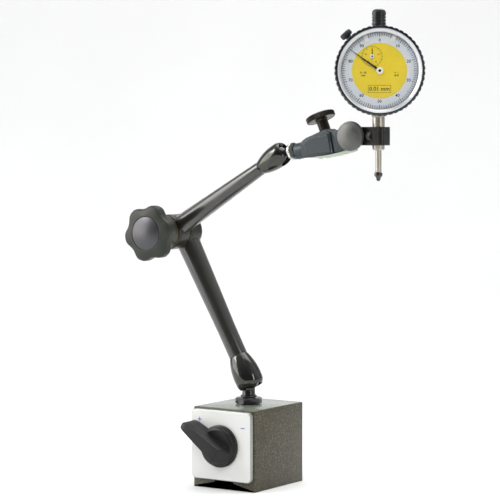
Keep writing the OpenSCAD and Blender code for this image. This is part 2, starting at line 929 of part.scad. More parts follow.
// Mounting stem with a chamfered end and the lower spindle bush
module stem() {
    color("#c3c4c0")
        in_dial()
            difference() {
                union() {
                    rotate_extrude($fn = 64)
                        polygon([
                            [0, stem_end], [stem_r - 0.7, stem_end], [stem_r, stem_end + 0.7],
                            [stem_r, -case_r - 0.4], [0, -case_r - 0.4]
                        ]);
                    stem_hole(3.5, -case_r - 0.5, -23.8);
                }
                stem_hole(spindle_r + run, stem_end - eps, -20);
            }
}

module top_cap() {
    cap_r = 4.55;
    color("#1c1d1f")
        in_dial()
            difference() {
                union() {
                    rotate_extrude($fn = 64)
                        difference() {
                            polygon([
                                [0, case_r + 0.4], [cap_r, case_r + 0.4], [cap_r, cap_top - 2.2],
                                [cap_r - 0.7, cap_top - 0.7], [cap_r - 2.2, cap_top], [0, cap_top]
                            ]);
                            for (i = [0 : 2])
                                translate([cap_r + 0.15, bezel_r + 2.6 + i * 1.9]) circle(r = 0.5, $fn = 24);
                        }
                    stem_hole(3.5, 23.8, case_r + 0.5);
                }
                stem_hole(spindle_r + 0.4, 20, cap_top - 1.4);
            }
}

// ---- Movement ----

module movement_plate() {
    color("#c8a85a")
        in_dial()
            union() {
                facing(plate_level)
                    difference() {
                        chamfered_disc(23.6, 1, 0.1);
                        translate([0, 0, -eps]) cylinder(r = 0.5 + run, h = 4);
                        translate([sub_x, sub_z, -eps]) cylinder(r = 0.6 + run, h = 4);
                        for (a = [30, 150, 270])
                            rotate([0, 0, a]) translate([22.7, 0, -eps]) cylinder(r = 0.65, h = 4);
                    }
                facing(plate_level - 3.6) translate([post_x, post_z, 0]) cylinder(r = 0.7, h = 3.7);
            }
}

module movement_bridge() {
    color("#c8a85a")
        in_dial()
            union() {
                facing(bridge_level)
                    difference() {
                        cylinder(r = 15.6, h = 0.8);
                        translate([0, 0, -eps]) cylinder(r = 0.5 + run, h = 4);
                        translate([sub_x, sub_z, -eps]) cylinder(r = 0.6 + run, h = 4);
                    }
                facing(plate_level + 1.02) pillars(bridge_level - plate_level - 0.9);
                facing(bridge_level + 0.7) pillars(dial_level - bridge_level - 0.72);
            }
}

module pillars(height) {
    for (a = [0, 60, 180, 240])
        rotate([0, 0, a]) translate([pillar_at, 0, 0]) cylinder(r = pillar_r, h = height);
}

// Rack pinion and wheel on one arbor, below the small hand
module drive_wheel() {
    color("#cfae5f")
        in_dial() facing(-1.4) translate([sub_x, sub_z, 0])
            union() {
                cylinder(r = 0.6, h = small_hand_level + 1.4 - 0.02);
                translate([0, 0, 0.4])
                    linear_extrude(2) polygon(gear_outline(rack_teeth, rack_pinion_r, rack_module, 0));
                translate([0, 0, wheel_level + 1.4])
                    linear_extrude(0.6)
                        polygon(gear_outline(wheel_teeth, wheel_r, wheel_module, 180 + mesh_angle));
            }
}

// Small pinion on the centre arbor, below the main hand
module centre_pinion() {
    gap_phase = mesh_angle + 180 / pinion_teeth;
    color("#d8d8d2")
        in_dial() facing(plate_level + 0.05)
            union() {
                cylinder(r = 0.5, h = main_hand_level - plate_level - 0.07);
                translate([0, 0, wheel_level - plate_level - 0.35])
                    linear_extrude(1.2) polygon(gear_outline(pinion_teeth, pinion_r, wheel_module, gap_phase));
            }
}

// Coil between the post on the plate and the guide arm on the spindle
module return_spring() {
    coils = 14;
    steps = 12;
    sides = 6;
    wire_r = 0.2;
    coil_r = 1.3;
    low = post_z + 1.2;
    high = -3.6;
    turns = coils * steps;
    points = [
        for (i = [0 : turns])
            let (a = 360 * i / steps, z = low + (high - low) * i / turns)
                for (k = [0 : sides - 1])
                    let (b = 360 * k / sides, r = coil_r + wire_r * cos(b))
                        [r * cos(a), r * sin(a), z + wire_r * sin(b)]
    ];
    walls = [
        for (i = [0 : turns - 1])
            for (k = [0 : sides - 1])
                let (n = (k + 1) % sides, p = i * sides, q = p + sides)
                    each [[p + k, q + k, q + n], [p + k, q + n, p + n]]
    ];
    first = [for (k = [0 : sides - 1]) k];
    last = [for (k = [sides - 1 : -1 : 0]) turns * sides + k];
    color("#9fa3a3")
        in_dial() translate([post_x, 0, 0])
            polyhedron(points, concat(walls, [first, last]));
}

// ---- Spindle ----

module spindle() {
    color("#b9b7b0")
        in_dial()
            difference() {
                stem_hole(spindle_r, spindle_end, spindle_top);
                translate([flat_x - 3, -3, -4.2]) cube([3, 6, 16.4]);
                stem_hole(1.2 + run, spindle_end - eps, spindle_end + 4);
                translate([0, 0, -2]) rotate([0, 90, 0]) cylinder(r = 0.8 + run, h = 5);
            }
}

// Toothed bar let into a flat on the spindle
module rack() {
    low = -4;
    high = 12;
    tip = rack_line - 0.6 * rack_module;
    root = rack_line + 0.95 * rack_module;
    half = 0.38 * rack_pitch / 2;
    lean = 0.42 * half;
    count = floor((sub_z - low) / rack_pitch);
    color("#b9b7b0")
        in_dial() translate([0, 0.9, 0]) rotate([90, 0, 0])
            linear_extrude(1.8)
                union() {
                    translate([root, low]) square([flat_x - 0.02 - root, high - low]);
                    for (i = [-count : 3])
                        let (z = sub_z + (i + 0.5) * rack_pitch)
                            polygon([
                                [root + 0.01, z - half - lean], [root + 0.01, z + half + lean],
                                [tip, z + half - lean], [tip, z - half + lean]
                            ]);
                }
}

module guide_arm() {
    color("#b9b7b0")
        in_dial() translate([0.6, 0, -2]) rotate([0, 90, 0])
            union() {
                cylinder(r = 0.8, h = 2);
                translate([0, 0, 1.6]) cylinder(r = 1.1, h = 5.4);
            }
}

// Screw-in contact point with a ball end
module contact_point() {
    top_r = 2.65;
    end_r = 1.4;
    length = 5.7;
    color("#202122")
        in_dial()
            union() {
                stem_hole(1.2, spindle_end - 1, spindle_end + 3.8);
                rotate_extrude($fn = 48)
                    polygon([
                        [0, spindle_end - 0.03], [top_r - 0.3, spindle_end - 0.03],
                        [top_r, spindle_end - 0.4], [top_r, spindle_end - 2.2],
                        [end_r, spindle_end - length + end_r], [0, spindle_end - length + end_r]
                    ]);
                translate([0, 0, spindle_end - length + end_r]) sphere(r = end_r);
            }
}

// ---- Bezel and dial ----

module bezel() {
    scallops = 50;
    color("#1a1b1f")
        in_dial() facing(bezel_back)
            difference() {
                intersection() {
                    linear_extrude(bezel_front - bezel_back)
                        difference() {
                            circle(r = bezel_r);
                            for (i = [0 : scallops - 1])
                                rotate(360 * i / scallops) translate([bezel_r + 0.75, 0])
                                    circle(r = 1.15, $fn = 16);
                        }
                    chamfered_disc(bezel_r, bezel_front - bezel_back, 0.8, true);
                }
                translate([0, 0, -eps]) cylinder(r = case_r + run, h = dial_level - bezel_back + 0.05 + eps);
                translate([0, 0, 1]) cylinder(r = lip_r, h = 20);
                translate([0, 0, ring_level - bezel_back]) cylinder(r = ring_r + run, h = 20);
            }
}

// Plated ring that holds the lens, sloping in to the dial
module bezel_ring() {
    color("#d9dcdf")
        in_dial() facing(ring_level + 0.02)
            rotate_extrude($fn = 128)
                polygon([[face_r, 0], [ring_r, 0], [ring_r, 1.9], [ring_r - 0.5, 2.1], [face_r, 0.6]]);
}

module lens() {
    color("#e8f4ff", 0.3)
        in_dial() facing(lens_level) cylinder(r = lip_r - 0.1, h = ring_level - lens_level, $fn = 96);
}

module dial_ring() {
    color("#cdd5e4")
        in_dial() facing(dial_level + 0.1) ring(lip_r - 0.1, centre_r + 0.05, 0.7);
}

module dial_centre() {
    color("#e2c837")
        in_dial() facing(dial_level)
            difference() {
                cylinder(r = centre_r, h = 0.7);
                translate([0, 0, -eps]) cylinder(r = 1, h = 4);
                translate([sub_x, sub_z, -eps]) cylinder(r = 1, h = 4);
            }
}

// White marker with a carrier that slides in the rim under the lens
module limit_hand(angle) {
    width = 2.4;
    inner = 20.4;
    color("#f5f5f5")
        in_dial() facing(limit_level) rotate([0, 0, angle])
            linear_extrude(0.4)
                union() {
                    translate([-width / 2, inner]) square([width, face_r + 0.3 - inner]);
                    difference() {
                        circle(r = lip_r - 0.1, $fn = 96);
                        circle(r = face_r + 0.1, $fn = 96);
                        translate([-40, -80 + 24]) square([80, 80]);
                        translate([3, 0]) square([40, 40]);
                        translate([-43, 0]) square([40, 40]);
                    }
                }
}

module limit_hand_left() {
    limit_hand(limit_angle);
}

module limit_hand_right() {
    limit_hand(-limit_angle);
}

module main_hand() {
    length = 23;
    color("#15161a")
        in_dial() facing(main_hand_level) rotate([0, 0, main_hand_angle])
            union() {
                linear_extrude(0.3) polygon([[-0.85, 0], [-0.1, length], [0.1, length], [0.85, 0]]);
                chamfered_disc(2.3, 0.5, 0.1);
            }
}

module small_hand() {
    length = 6.2;
    color("#15161a")
        in_dial() facing(small_hand_level) translate([sub_x, sub_z, 0])
            union() {
                linear_extrude(0.3) polygon([[-0.45, 0], [-0.08, length], [0.08, length], [0.45, 0]]);
                chamfered_disc(1.4, 0.5, 0.1);
            }
}

// Screw that locks the bezel, on a boss at the upper left of the case
module bezel_clamp() {
    color("#1c1d1f")
        in_dial() rotate([0, -clamp_direction, 0])
            union() {
                stem_hole(1.5, case_r - 0.5, case_r + 4);
                stem_hole(2, case_r + 2.3, case_r + 4);
                translate([0, 0, bezel_r + 0.6]) knurled_disc(4, 0.2, 28, 3.9, 0.4);
            }
}

pole_left();
pole_right();
pole_spacer();
face_plate();
rear_cover();
lock_nut();
switch_lever();
rotor_shaft();
magnet_rotor();
ball_stud();
lower_socket();
lower_tube();
lower_knuckle();
elbow_bolt();
lower_seat();
lower_push_rod();
elbow_collar();
elbow_wedge();
star_knob();
knob_cap();
upper_knuckle();
upper_tube();
upper_socket();
upper_push_rod();
upper_seat();
head_stud();
head_nut();
head_body();
leaf_spring();
leaf_screws();
fine_screw_tip();
fine_screw();
head_carrier();
jaw();
jaw_washer();
jaw_knob();
indicator_case();
back_cover();
back_cover_screws();
stem();
top_cap();
movement_plate();
movement_bridge();
dial_centre();
return_spring();
spindle();
rack();
guide_arm();
contact_point();
bezel();
bezel_ring();
lens();
dial_ring();
bezel_clamp();
limit_hand_left();
limit_hand_right();
main_hand();
centre_pinion();
small_hand();
drive_wheel();
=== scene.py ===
"""Looks of a dial indicator on a magnetic base. Lengths are in mm, except for stage, lights and camera."""

import json
from math import atan2, cos, degrees, pi, radians, sin, sqrt, tan

import bmesh
import bpy
from mathutils import Matrix, Vector


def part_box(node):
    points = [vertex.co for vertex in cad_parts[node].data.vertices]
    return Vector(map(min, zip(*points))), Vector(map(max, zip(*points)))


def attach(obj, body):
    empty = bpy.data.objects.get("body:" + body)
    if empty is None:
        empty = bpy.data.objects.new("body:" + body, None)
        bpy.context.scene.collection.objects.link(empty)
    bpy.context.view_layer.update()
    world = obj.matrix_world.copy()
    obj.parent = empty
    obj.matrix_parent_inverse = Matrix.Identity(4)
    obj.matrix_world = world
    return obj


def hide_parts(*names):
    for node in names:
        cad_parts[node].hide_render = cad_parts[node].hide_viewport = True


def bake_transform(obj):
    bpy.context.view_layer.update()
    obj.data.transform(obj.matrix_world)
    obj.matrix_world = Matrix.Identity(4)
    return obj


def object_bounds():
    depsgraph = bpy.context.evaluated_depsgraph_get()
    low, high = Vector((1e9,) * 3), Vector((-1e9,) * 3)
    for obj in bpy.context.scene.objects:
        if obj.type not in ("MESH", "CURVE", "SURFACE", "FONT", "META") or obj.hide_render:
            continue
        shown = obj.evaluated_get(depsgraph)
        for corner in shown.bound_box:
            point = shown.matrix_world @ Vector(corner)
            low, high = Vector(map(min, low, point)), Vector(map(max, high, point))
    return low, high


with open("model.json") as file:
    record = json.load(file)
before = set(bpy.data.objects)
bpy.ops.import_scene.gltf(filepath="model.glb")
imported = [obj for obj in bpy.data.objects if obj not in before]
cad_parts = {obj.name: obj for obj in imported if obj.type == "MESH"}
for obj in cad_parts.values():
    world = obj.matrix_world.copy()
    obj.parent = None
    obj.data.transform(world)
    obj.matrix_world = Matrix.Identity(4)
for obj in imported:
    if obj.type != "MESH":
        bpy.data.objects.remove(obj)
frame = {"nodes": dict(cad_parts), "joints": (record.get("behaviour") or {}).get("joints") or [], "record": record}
cad_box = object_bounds()
MM = 0.001
TAU = 2 * pi

# ---- places

JOINTS = {j["name"]: j for j in frame["joints"]}


def joint_at(name):
    return Vector(JOINTS[name]["pos_m"])


def joint_axis(name):
    return Vector(JOINTS[name]["axis"]).normalized()


def place(origin, z, x=(1, 0, 0)):
    """Matrix with its origin at a point in metres, local z along z and local x as near to x as it can be."""
    z = Vector(z).normalized()
    x = Vector(x)
    x = (x - z * x.dot(z)).normalized()
    y = z.cross(x)
    m = Matrix((x, y, z)).transposed().to_4x4()
    m.translation = Vector(origin)
    return m


def shifted(at, x=0.0, y=0.0, z=0.0):
    """The place moved along its own axes, in mm."""
    return at @ Matrix.Translation((x * MM, y * MM, z * MM))


def spun(at, turn, axis="Z"):
    """The place turned about one of its own axes."""
    return at @ Matrix.Rotation(radians(turn), 4, axis)


def arc(x, y, radius, start, end, steps):
    """Points on an arc about (x, y), both ends included. Angles are in degrees from +X towards +Y."""
    turns = [radians(start + (end - start) * k / steps) for k in range(steps + 1)]
    return [(x + radius * cos(t), y + radius * sin(t)) for t in turns]


UP, FRONT = Vector((0, 0, 1)), Vector((0, -1, 0))
ball1, elbow, ball2 = joint_at("lower_tilt"), joint_at("elbow_turn"), joint_at("head_tilt")
elbow_top = Vector((elbow.x, ball2.y, elbow.z))
head_x = joint_axis("head_roll")
reader = joint_axis("bezel_turn")
dial_right = Vector((-reader.y, reader.x, 0))
BASE = Matrix.Identity(4)
SWITCH = place((0, 0, joint_at("switch_turn").z), FRONT)
LOWER = place(ball1, elbow - ball1)
ELBOW = place(elbow, FRONT)
UPPER = place(ball2, elbow_top - ball2, (-0.5, 0, 0.8))
HEAD = place(ball2, head_x.cross(Vector((0, 1, 0))), head_x)
HEAD_AXIS = place(ball2, head_x, (0, 0, -1))
FINE = place(joint_at("fine_screw_turn"), joint_axis("fine_screw_turn"))
JAW = place(joint_at("jaw_swivel"), UP)
JAW_FRONT = place(joint_at("jaw_swivel"), FRONT)
DIAL = place(joint_at("bezel_turn"), reader, dial_right)
STEM = place(joint_at("bezel_turn"), UP, dial_right)
lower_len = (elbow - ball1).length / MM
upper_len = (elbow_top - ball2).length / MM

# ---- materials


class Nodes:
    """Short helpers for a node tree. An input is named, or _ and its number."""

    def __init__(self, tree):
        self.tree = tree

    def node(self, kind, props=None, **inputs):
        n = self.tree.nodes.new(kind)
        for k, v in (props or {}).items():
            setattr(n, k, v)
        for k, v in inputs.items():
            self.feed(n, k, v)
        return n

    def feed(self, node, key, value):
        socket = node.inputs[int(key[1:]) if key[0] == "_" and key[1:].isdigit() else key.replace("_", " ")]
        if isinstance(value, bpy.types.NodeSocket):
            self.tree.links.new(value, socket)
        else:
            socket.default_value = value


class Shader(Nodes):
    """A Principled material. Coordinates and sizes are in mm."""

    def __init__(self, name):
        self.mat = bpy.data.materials.new(name)
        self.mat.use_nodes = True
        super().__init__(self.mat.node_tree)
        self.bsdf = self.tree.nodes["Principled BSDF"]

    def set(self, **inputs):
        for k, v in inputs.items():
            self.feed(self.bsdf, k, v)

    def space(self, stretch=(1, 1, 1), uv=False):
        """Coordinates in mm, stretched per axis. uv: around and along a turned piece."""
        source = self.node("ShaderNodeTexCoord").outputs["UV" if uv else "Object"]
        k = 1.0 if uv else 1 / MM
        n = self.node("ShaderNodeMapping", Vector=source)
        n.inputs["Scale"].default_value = [k * s for s in stretch]
        return n.outputs["Vector"]

    def noise(self, scale, detail=3.0, rough=0.55, vector=None, distortion=0.0):
        return self.node("ShaderNodeTexNoise", Vector=vector or self.space(), Scale=scale, Detail=detail,
            Roughness=rough, Distortion=distortion).outputs["Fac"]

    def cells(self, scale, vector):
        return self.node("ShaderNodeTexVoronoi", {"feature": "SMOOTH_F1"}, Vector=vector,
            Scale=scale).outputs["Distance"]

    def ramp(self, fac, *stops):
        """stops: (position, value or colour)."""
        n = self.node("ShaderNodeValToRGB", Fac=fac)
        e = n.color_ramp.elements
        while len(e) < len(stops):
            e.new(0.5)
        for spot, (pos, value) in zip(e, stops):
            spot.position = pos
            spot.color = (*value, 1) if isinstance(value, (tuple, list)) else (value, value, value, 1)
        return n.outputs["Color"]

    def mix(self, fac, a, b):
        a, b = (v if isinstance(v, bpy.types.NodeSocket) else (*v, 1) for v in (a, b))
        return self.node("ShaderNodeMix", {"data_type": "RGBA"}, _0=fac, _6=a, _7=b).outputs[2]

    def math(self, op, a, b=0.0):
        return self.node("ShaderNodeMath", {"operation": op}, _0=a, _1=b).outputs[0]

    def bump(self, height, size):
        """size: height of the relief."""
        return self.node("ShaderNodeBump", Height=height, Strength=1.0, Distance=size * MM).outputs["Normal"]

    def edges(self, radius, low=0.02, high=0.35):
        """1 on edges within the radius, 0 elsewhere, broken up by noise."""
        b = self.node("ShaderNodeBevel", {"samples": 4}, Radius=radius * MM)
        g = self.node("ShaderNodeNewGeometry")
        dot = self.node("ShaderNodeVectorMath", {"operation": "DOT_PRODUCT"}, _0=b.outputs[0],
            _1=g.outputs["Normal"])
        off = self.math("SUBTRACT", 1.0, dot.outputs["Value"])
        broken = self.math("MULTIPLY", off, self.ramp(self.noise(0.8, 5, 0.7), (0.35, 0.1), (0.7, 1.8)))
        return self.ramp(broken, (low, 0.0), (high, 1.0))


def srgb(r, g, b):
    """0-255 display colour to linear."""
    def one(c):
        c /= 255
        return c / 12.92 if c <= 0.04045 else ((c + 0.055) / 1.055) ** 2.4
    return (one(r), one(g), one(b))


def tone(c, k):
    return tuple(min(1.0, x * k) for x in c)


def finish(name, color, metal=0.0, rough=(0.35, 0.5), vary=0.12, patch=0.06, grain=6.0, relief=0.004,
        wear=None, brush=None, coat=0.0, coat_rough=0.1, spec=0.5):
    """General surface: uneven colour, smudged roughness, fine relief, worn edges and brushing.

    color: linear colour. patch: scale of the smudges. grain, relief: scale and height of the fine bump.
    wear: (colour, edge radius, roughness). brush: stretch of the brush lines, or "turned" for lathe lines.
    """
    s = Shader(name)
    smudge = s.noise(patch, 4, 0.6)
    fine = s.noise(grain, 3, 0.6)
    base = s.mix(s.ramp(smudge, (0.3, 0.0), (0.7, 1.0)), tone(color, 1 - vary), tone(color, 1 + vary))
    base = s.mix(s.math("MULTIPLY", fine, 0.25), base, tone(color, 1 - 1.5 * vary))
    lo, hi = rough
    roughness = s.ramp(s.math("ADD", s.math("MULTIPLY", smudge, 0.7), s.math("MULTIPLY", fine, 0.3)),
        (0.3, lo), (0.7, hi))
    height = fine
    if brush:
        turned = brush == "turned"
        lines = s.noise(1.0, 4, 0.7, s.space((1.2, 9, 1) if turned else brush, uv=turned))
        base = s.mix(s.ramp(lines, (0.3, 0.0), (0.7, 1.0)), tone(color, 1 - vary), base)
        roughness = s.mix(s.ramp(lines, (0.35, 0.0), (0.65, 0.6)), roughness, (hi, hi, hi))
        height = s.math("ADD", s.math("MULTIPLY", lines, 0.8), s.math("MULTIPLY", fine, 0.2))
    if wear:
        worn, radius, worn_rough = wear
        mask = s.edges(radius)
        base = s.mix(mask, base, worn)
        roughness = s.mix(mask, roughness, (worn_rough,) * 3)
        metal = s.math("MAXIMUM", s.math("MULTIPLY", mask, 0.8), metal)
    s.set(Base_Color=base, Roughness=roughness, Metallic=metal, Normal=s.bump(height, relief))
    s.set(Coat_Weight=coat, Coat_Roughness=coat_rough, Specular_IOR_Level=spec)
    return s.mat


STEEL = srgb(176, 177, 172)
BRIGHT = srgb(214, 215, 210)


def hammertone():
    """Hammered enamel on the sides of the base, and ground steel wherever the surface faces up or down."""
    s = Shader("hammertone")
    warp = s.space()
    cell = s.cells(1.0, warp)
    speck = s.noise(1.4, 4, 0.78, warp, 0.8)
    tone_map = s.ramp(s.math("ADD", s.math("MULTIPLY", speck, 0.8), s.math("MULTIPLY", cell, 0.25)),
        (0.42, srgb(32, 29, 19)), (0.52, srgb(64, 59, 43)), (0.6, srgb(92, 86, 66)),
        (0.68, srgb(128, 121, 96)))
    paint = s.mix(s.ramp(s.noise(0.05, 3), (0.3, 0.0), (0.7, 0.25)), tone_map, srgb(66, 58, 46))
    mask = s.edges(0.5)
    paint = s.mix(s.math("MULTIPLY", mask, 0.6), paint, srgb(122, 116, 102))
    relief = s.bump(s.math("SUBTRACT", s.math("MULTIPLY", speck, 0.7), cell), 0.22)
    ground_lines = s.noise(1.0, 4, 0.7, s.space((0.3, 5, 0.3)))
    ground = s.mix(s.ramp(ground_lines, (0.35, 0.0), (0.65, 1.0)), srgb(104, 112, 102), srgb(118, 126, 114))
    g = s.node("ShaderNodeNewGeometry")
    sep = s.node("ShaderNodeSeparateXYZ", Vector=g.outputs["Normal"])
    flat = s.ramp(s.math("ABSOLUTE", sep.outputs["Z"]), (0.80, 0.0), (0.93, 1.0))
    s.set(Base_Color=s.mix(flat, paint, ground), Metallic=0.0)
    s.set(Roughness=s.mix(flat, s.ramp(speck, (0.3, 0.28), (0.7, 0.48)),
        s.ramp(ground_lines, (0.3, 0.16), (0.7, 0.3))))
    normal = s.node("ShaderNodeMix", {"data_type": "VECTOR"}, _0=flat, _4=relief,
        _5=s.bump(ground_lines, 0.001))
    s.set(Normal=normal.outputs[1])
    s.set(Coat_Weight=s.mix(flat, (0.15,) * 3, (0.3,) * 3), Coat_Roughness=0.12, Specular_IOR_Level=0.3)
    return s.mat


def glossy_plating(name, color, tint, rough):
    """Dark polished plating with faint lathe rings, and fingerprints that show the tint."""
    s = Shader(name)
    rings = s.noise(1.0, 3, 0.6, s.space((0.6, 7, 1), uv=True))
    smear = s.noise(0.12, 5, 0.7, None, 0.8)
    base = s.mix(s.ramp(smear, (0.35, 0.0), (0.7, 1.0)), color, tint)
    mask = s.edges(0.35, 0.05, 0.5)
    s.set(Base_Color=s.mix(mask, base, tone(color, 2.4)), Metallic=0.92)
    s.set(Roughness=s.ramp(smear, (0.35, rough[0]), (0.75, rough[1])), Normal=s.bump(rings, 0.0015))
    s.set(Coat_Weight=0.3, Coat_Roughness=0.04)
    return s.mat


def printed(name, color):
    """Flat printed ink or enamel with slight speckle."""
    return finish(name, color, 0.0, (0.4, 0.53), 0.05, 0.2, 12.0, 0.0015)


def lens_glass():
    """Clear pane: it only adds its own reflection, weak when seen face on, over what lies behind it."""
    s = Shader("lens_clear")
    fresnel = s.node("ShaderNodeFresnel", IOR=1.45).outputs[0]
    smear = s.ramp(s.noise(0.15, 4, 0.7, None, 0.5), (0.4, 0.0), (0.8, 0.012))
    s.set(Base_Color=(0.95, 0.97, 1, 1), Metallic=1.0, Roughness=0.03, Alpha=s.math("ADD", fresnel, smear))
    return s.mat


def knurl_finish(name, color, metal, rough):
    """Dull metal with pale worn crests."""
    return finish(name, color, metal, rough, 0.2, 0.15, 5.0, 0.006, (tone(STEEL, 0.7), 0.18, 0.3))


MAT = {
    "base": hammertone(),
    "ground": finish("ground_steel_cover", srgb(160, 166, 155), 0.6, (0.25, 0.4), 0.1, brush="turned"),
    "white": finish("face_white", srgb(206, 206, 203), 0.0, (0.28, 0.42), 0.025, 0.05, 3.0, 0.01, coat=0.15),
    "rim": finish("plate_edge", srgb(150, 155, 150), 0.6, (0.25, 0.4), 0.1, 0.2, 4.0, 0.004),
    "blue": printed("mark_blue", srgb(52, 92, 168)),
    "lever": finish("lever_plastic", srgb(16, 18, 16), 0.0, (0.34, 0.48), 0.14, 0.08, 3.5, 0.02,
        (srgb(50, 54, 50), 0.5, 0.42), spec=0.32),
    "black": finish("black_oxide", srgb(24, 24, 25), 0.35, (0.14, 0.28), 0.2, 0.15, 6.0, 0.002,
        (srgb(110, 108, 104), 0.25, 0.3), coat=0.5),
    "steel": finish("turned_steel", STEEL, 1.0, (0.2, 0.36), 0.1, relief=0.001, brush="turned"),
    "stem": finish("ground_stem", srgb(168, 162, 152), 0.9, (0.26, 0.34), 0.05, relief=0.0006,
        brush="turned"),
    "magnet": finish("ferrite", srgb(70, 70, 72), 0.2, (0.5, 0.75), 0.2, 0.3, 3.0, 0.02),
    "chrome": glossy_plating("black_chrome", srgb(52, 56, 56), srgb(74, 72, 64), (0.08, 0.16)),
    "socket_inside": finish("socket_inside", srgb(26, 26, 27), 0.6, (0.3, 0.5), 0.2),
    "tube": finish("arm_tube_black", srgb(27, 26, 22), 0.1, (0.26, 0.38), 0.16, 0.05, 5.0, 0.003,
        (srgb(80, 76, 66), 0.3, 0.3), coat=0.9, coat_rough=0.16),
    "knuckle": finish("arm_knuckle", srgb(36, 34, 27), 0.5, (0.24, 0.36), 0.15, 0.08, 5.0, 0.006,
        (srgb(84, 80, 66), 0.3, 0.3), coat=0.15, coat_rough=0.18),
    "bronze": finish("seat_bronze", srgb(176, 150, 96), 1.0, (0.2, 0.35)),
    "collar": finish("collar_black", srgb(72, 68, 54), 0.6, (0.25, 0.4), 0.15, brush="turned", coat=0.2,
        wear=(srgb(120, 116, 104), 0.2, 0.3)),
    "knob": finish("knob_grip", srgb(39, 42, 36), 0.0, (0.34, 0.5), 0.1, 0.07, 2.6, 0.03,
        (srgb(66, 70, 61), 0.6, 0.4), spec=0.3),
    "cap": finish("knob_cap_metal", srgb(80, 80, 83), 0.9, (0.24, 0.38), 0.1, brush="turned"),
    "nickel": finish("bright_nickel", srgb(214, 214, 206), 1.0, (0.08, 0.2), 0.07, 0.2, 8.0, 0.001,
        (srgb(240, 240, 236), 0.2, 0.12)),
    "casting": finish("head_casting", srgb(40, 48, 51), 0.15, (0.36, 0.5), 0.1, 0.12, 4.0, 0.02,
        (srgb(116, 121, 121), 0.5, 0.35)),
    "spring": finish("spring_strip", srgb(154, 168, 150), 0.5, (0.32, 0.45), 0.06, 0.25, 8.0, 0.001),
    "wire": finish("spring_wire", srgb(160, 163, 160), 1.0, (0.25, 0.4), 0.1),
    "knurl_dark": knurl_finish("knurled_dark", srgb(40, 37, 31), 0.6, (0.24, 0.4)),
    "knurl_grey": knurl_finish("knurled_grey", srgb(90, 91, 88), 0.7, (0.26, 0.4)),
    "jaw": finish("jaw_black", srgb(20, 20, 17), 0.3, (0.22, 0.36), 0.15, 0.1, 5.0, 0.004,
        (srgb(120, 118, 106), 0.3, 0.28)),
    "jaw_cut": finish("jaw_machined", srgb(150, 150, 140), 0.9, (0.2, 0.35), 0.1),
    "case": finish("case_black", srgb(24, 26, 30), 0.2, (0.26, 0.4), 0.15, 0.08, 6.0, 0.006,
        (srgb(76, 78, 84), 0.22, 0.3), coat=0.15, coat_rough=0.2),
    "bezel": finish("bezel_black", srgb(32, 34, 40), 0.35, (0.2, 0.34), 0.15, 0.08, 6.0, 0.004,
        (srgb(104, 108, 116), 0.25, 0.25), coat=0.35, coat_rough=0.15),
    "contact": finish("contact_black", srgb(28, 28, 30), 0.1, (0.1, 0.2), 0.12, 0.3, 6.0, 0.002, coat=0.6),
    "plated": finish("plated_ring", srgb(206, 208, 210), 0.75, (0.3, 0.42), 0.05, brush="turned"),
    "lens": lens_glass(),
    "dial_white": finish("dial_white", srgb(226, 232, 242), 0.0, (0.36, 0.5), 0.025, 0.08, 10.0, 0.0015,
        coat=0.1),
    "dial_yellow": finish("dial_yellow", srgb(246, 220, 54), 0.0, (0.36, 0.5), 0.04, 0.08, 10.0, 0.0015,
        coat=0.1),
    "ink": printed("dial_ink", srgb(12, 12, 16)),
    "hand": finish("hand_black", srgb(16, 17, 19), 0.2, (0.2, 0.3), 0.1, 0.3, 9.0, 0.001, coat=0.4),
    "enamel": finish("white_enamel", srgb(250, 250, 247), 0.0, (0.2, 0.32), 0.03, 0.3, 8.0, 0.001, coat=0.3),
    "brass": finish("movement_brass", srgb(206, 172, 92), 1.0, (0.18, 0.32), 0.1, 0.3, 5.0, 0.002),
    "screw": finish("small_screws", srgb(188, 189, 186), 1.0, (0.2, 0.35), 0.1, 0.3, 6.0, 0.002,
        (BRIGHT, 0.15, 0.2)),
}

# ---- mesh helpers

BODY_OF = {n: b for b, ns in frame["record"]["behaviour"]["bodies"].items() for n in ns}


def fillet(points, closed=False, steps=4):
    """2D path with rounded corners. points: (a, b) or (a, b, corner radius)."""
    out = []
    count = len(points)
    for i, p in enumerate(points):
        here = Vector(p[:2])
        if len(p) < 3 or not p[2] or (not closed and i in (0, count - 1)):
            out.append(here)
            continue
        before, after = Vector(points[i - 1][:2]) - here, Vector(points[(i + 1) % count][:2]) - here
        angle = before.angle(after)
        reach = min(p[2] / tan(angle / 2), 0.49 * before.length, 0.49 * after.length)
        radius = reach * tan(angle / 2)
        centre = here + (before.normalized() + after.normalized()).normalized() * radius / sin(angle / 2)
        a = here + before.normalized() * reach - centre
        b = here + after.normalized() * reach - centre
        sweep = atan2(a.x * b.y - a.y * b.x, a.dot(b))
        for k in range(steps + 1):
            t = sweep * k / steps
            out.append(centre + Vector((a.x * cos(t) - a.y * sin(t), a.x * sin(t) + a.y * cos(t))))
    return out


def link(name, data):
    """New object in the scene."""
    obj = bpy.data.objects.new(name, data)
    bpy.context.scene.collection.objects.link(obj)
    return obj


def build(name, verts, faces, at, mat, node=None, body=None, replaces=None, sharp=32, uvs=None):
    """Mesh object from local mm. node: the CAD node it stands for, which also gives its body."""
    mesh = bpy.data.meshes.new(name)
    mesh.from_pydata([at @ (Vector(v) * MM) for v in verts], [], faces)
    if uvs:
        layer = mesh.uv_layers.new(name="UVMap")
        for loop in mesh.loops:
            layer.data[loop.index].uv = uvs[loop.vertex_index]
    bm = bmesh.new()
    bm.from_mesh(mesh)
    bmesh.ops.recalc_face_normals(bm, faces=bm.faces)
    bm.to_mesh(mesh)
    bm.free()
    mesh.materials.append(MAT[mat])
    obj = link(name, mesh)
    shade(obj, sharp)
    if node or body:
        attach(obj, body or BODY_OF[node])
    if node:
        stand_for(obj, *(replaces or (node,)))
    return obj


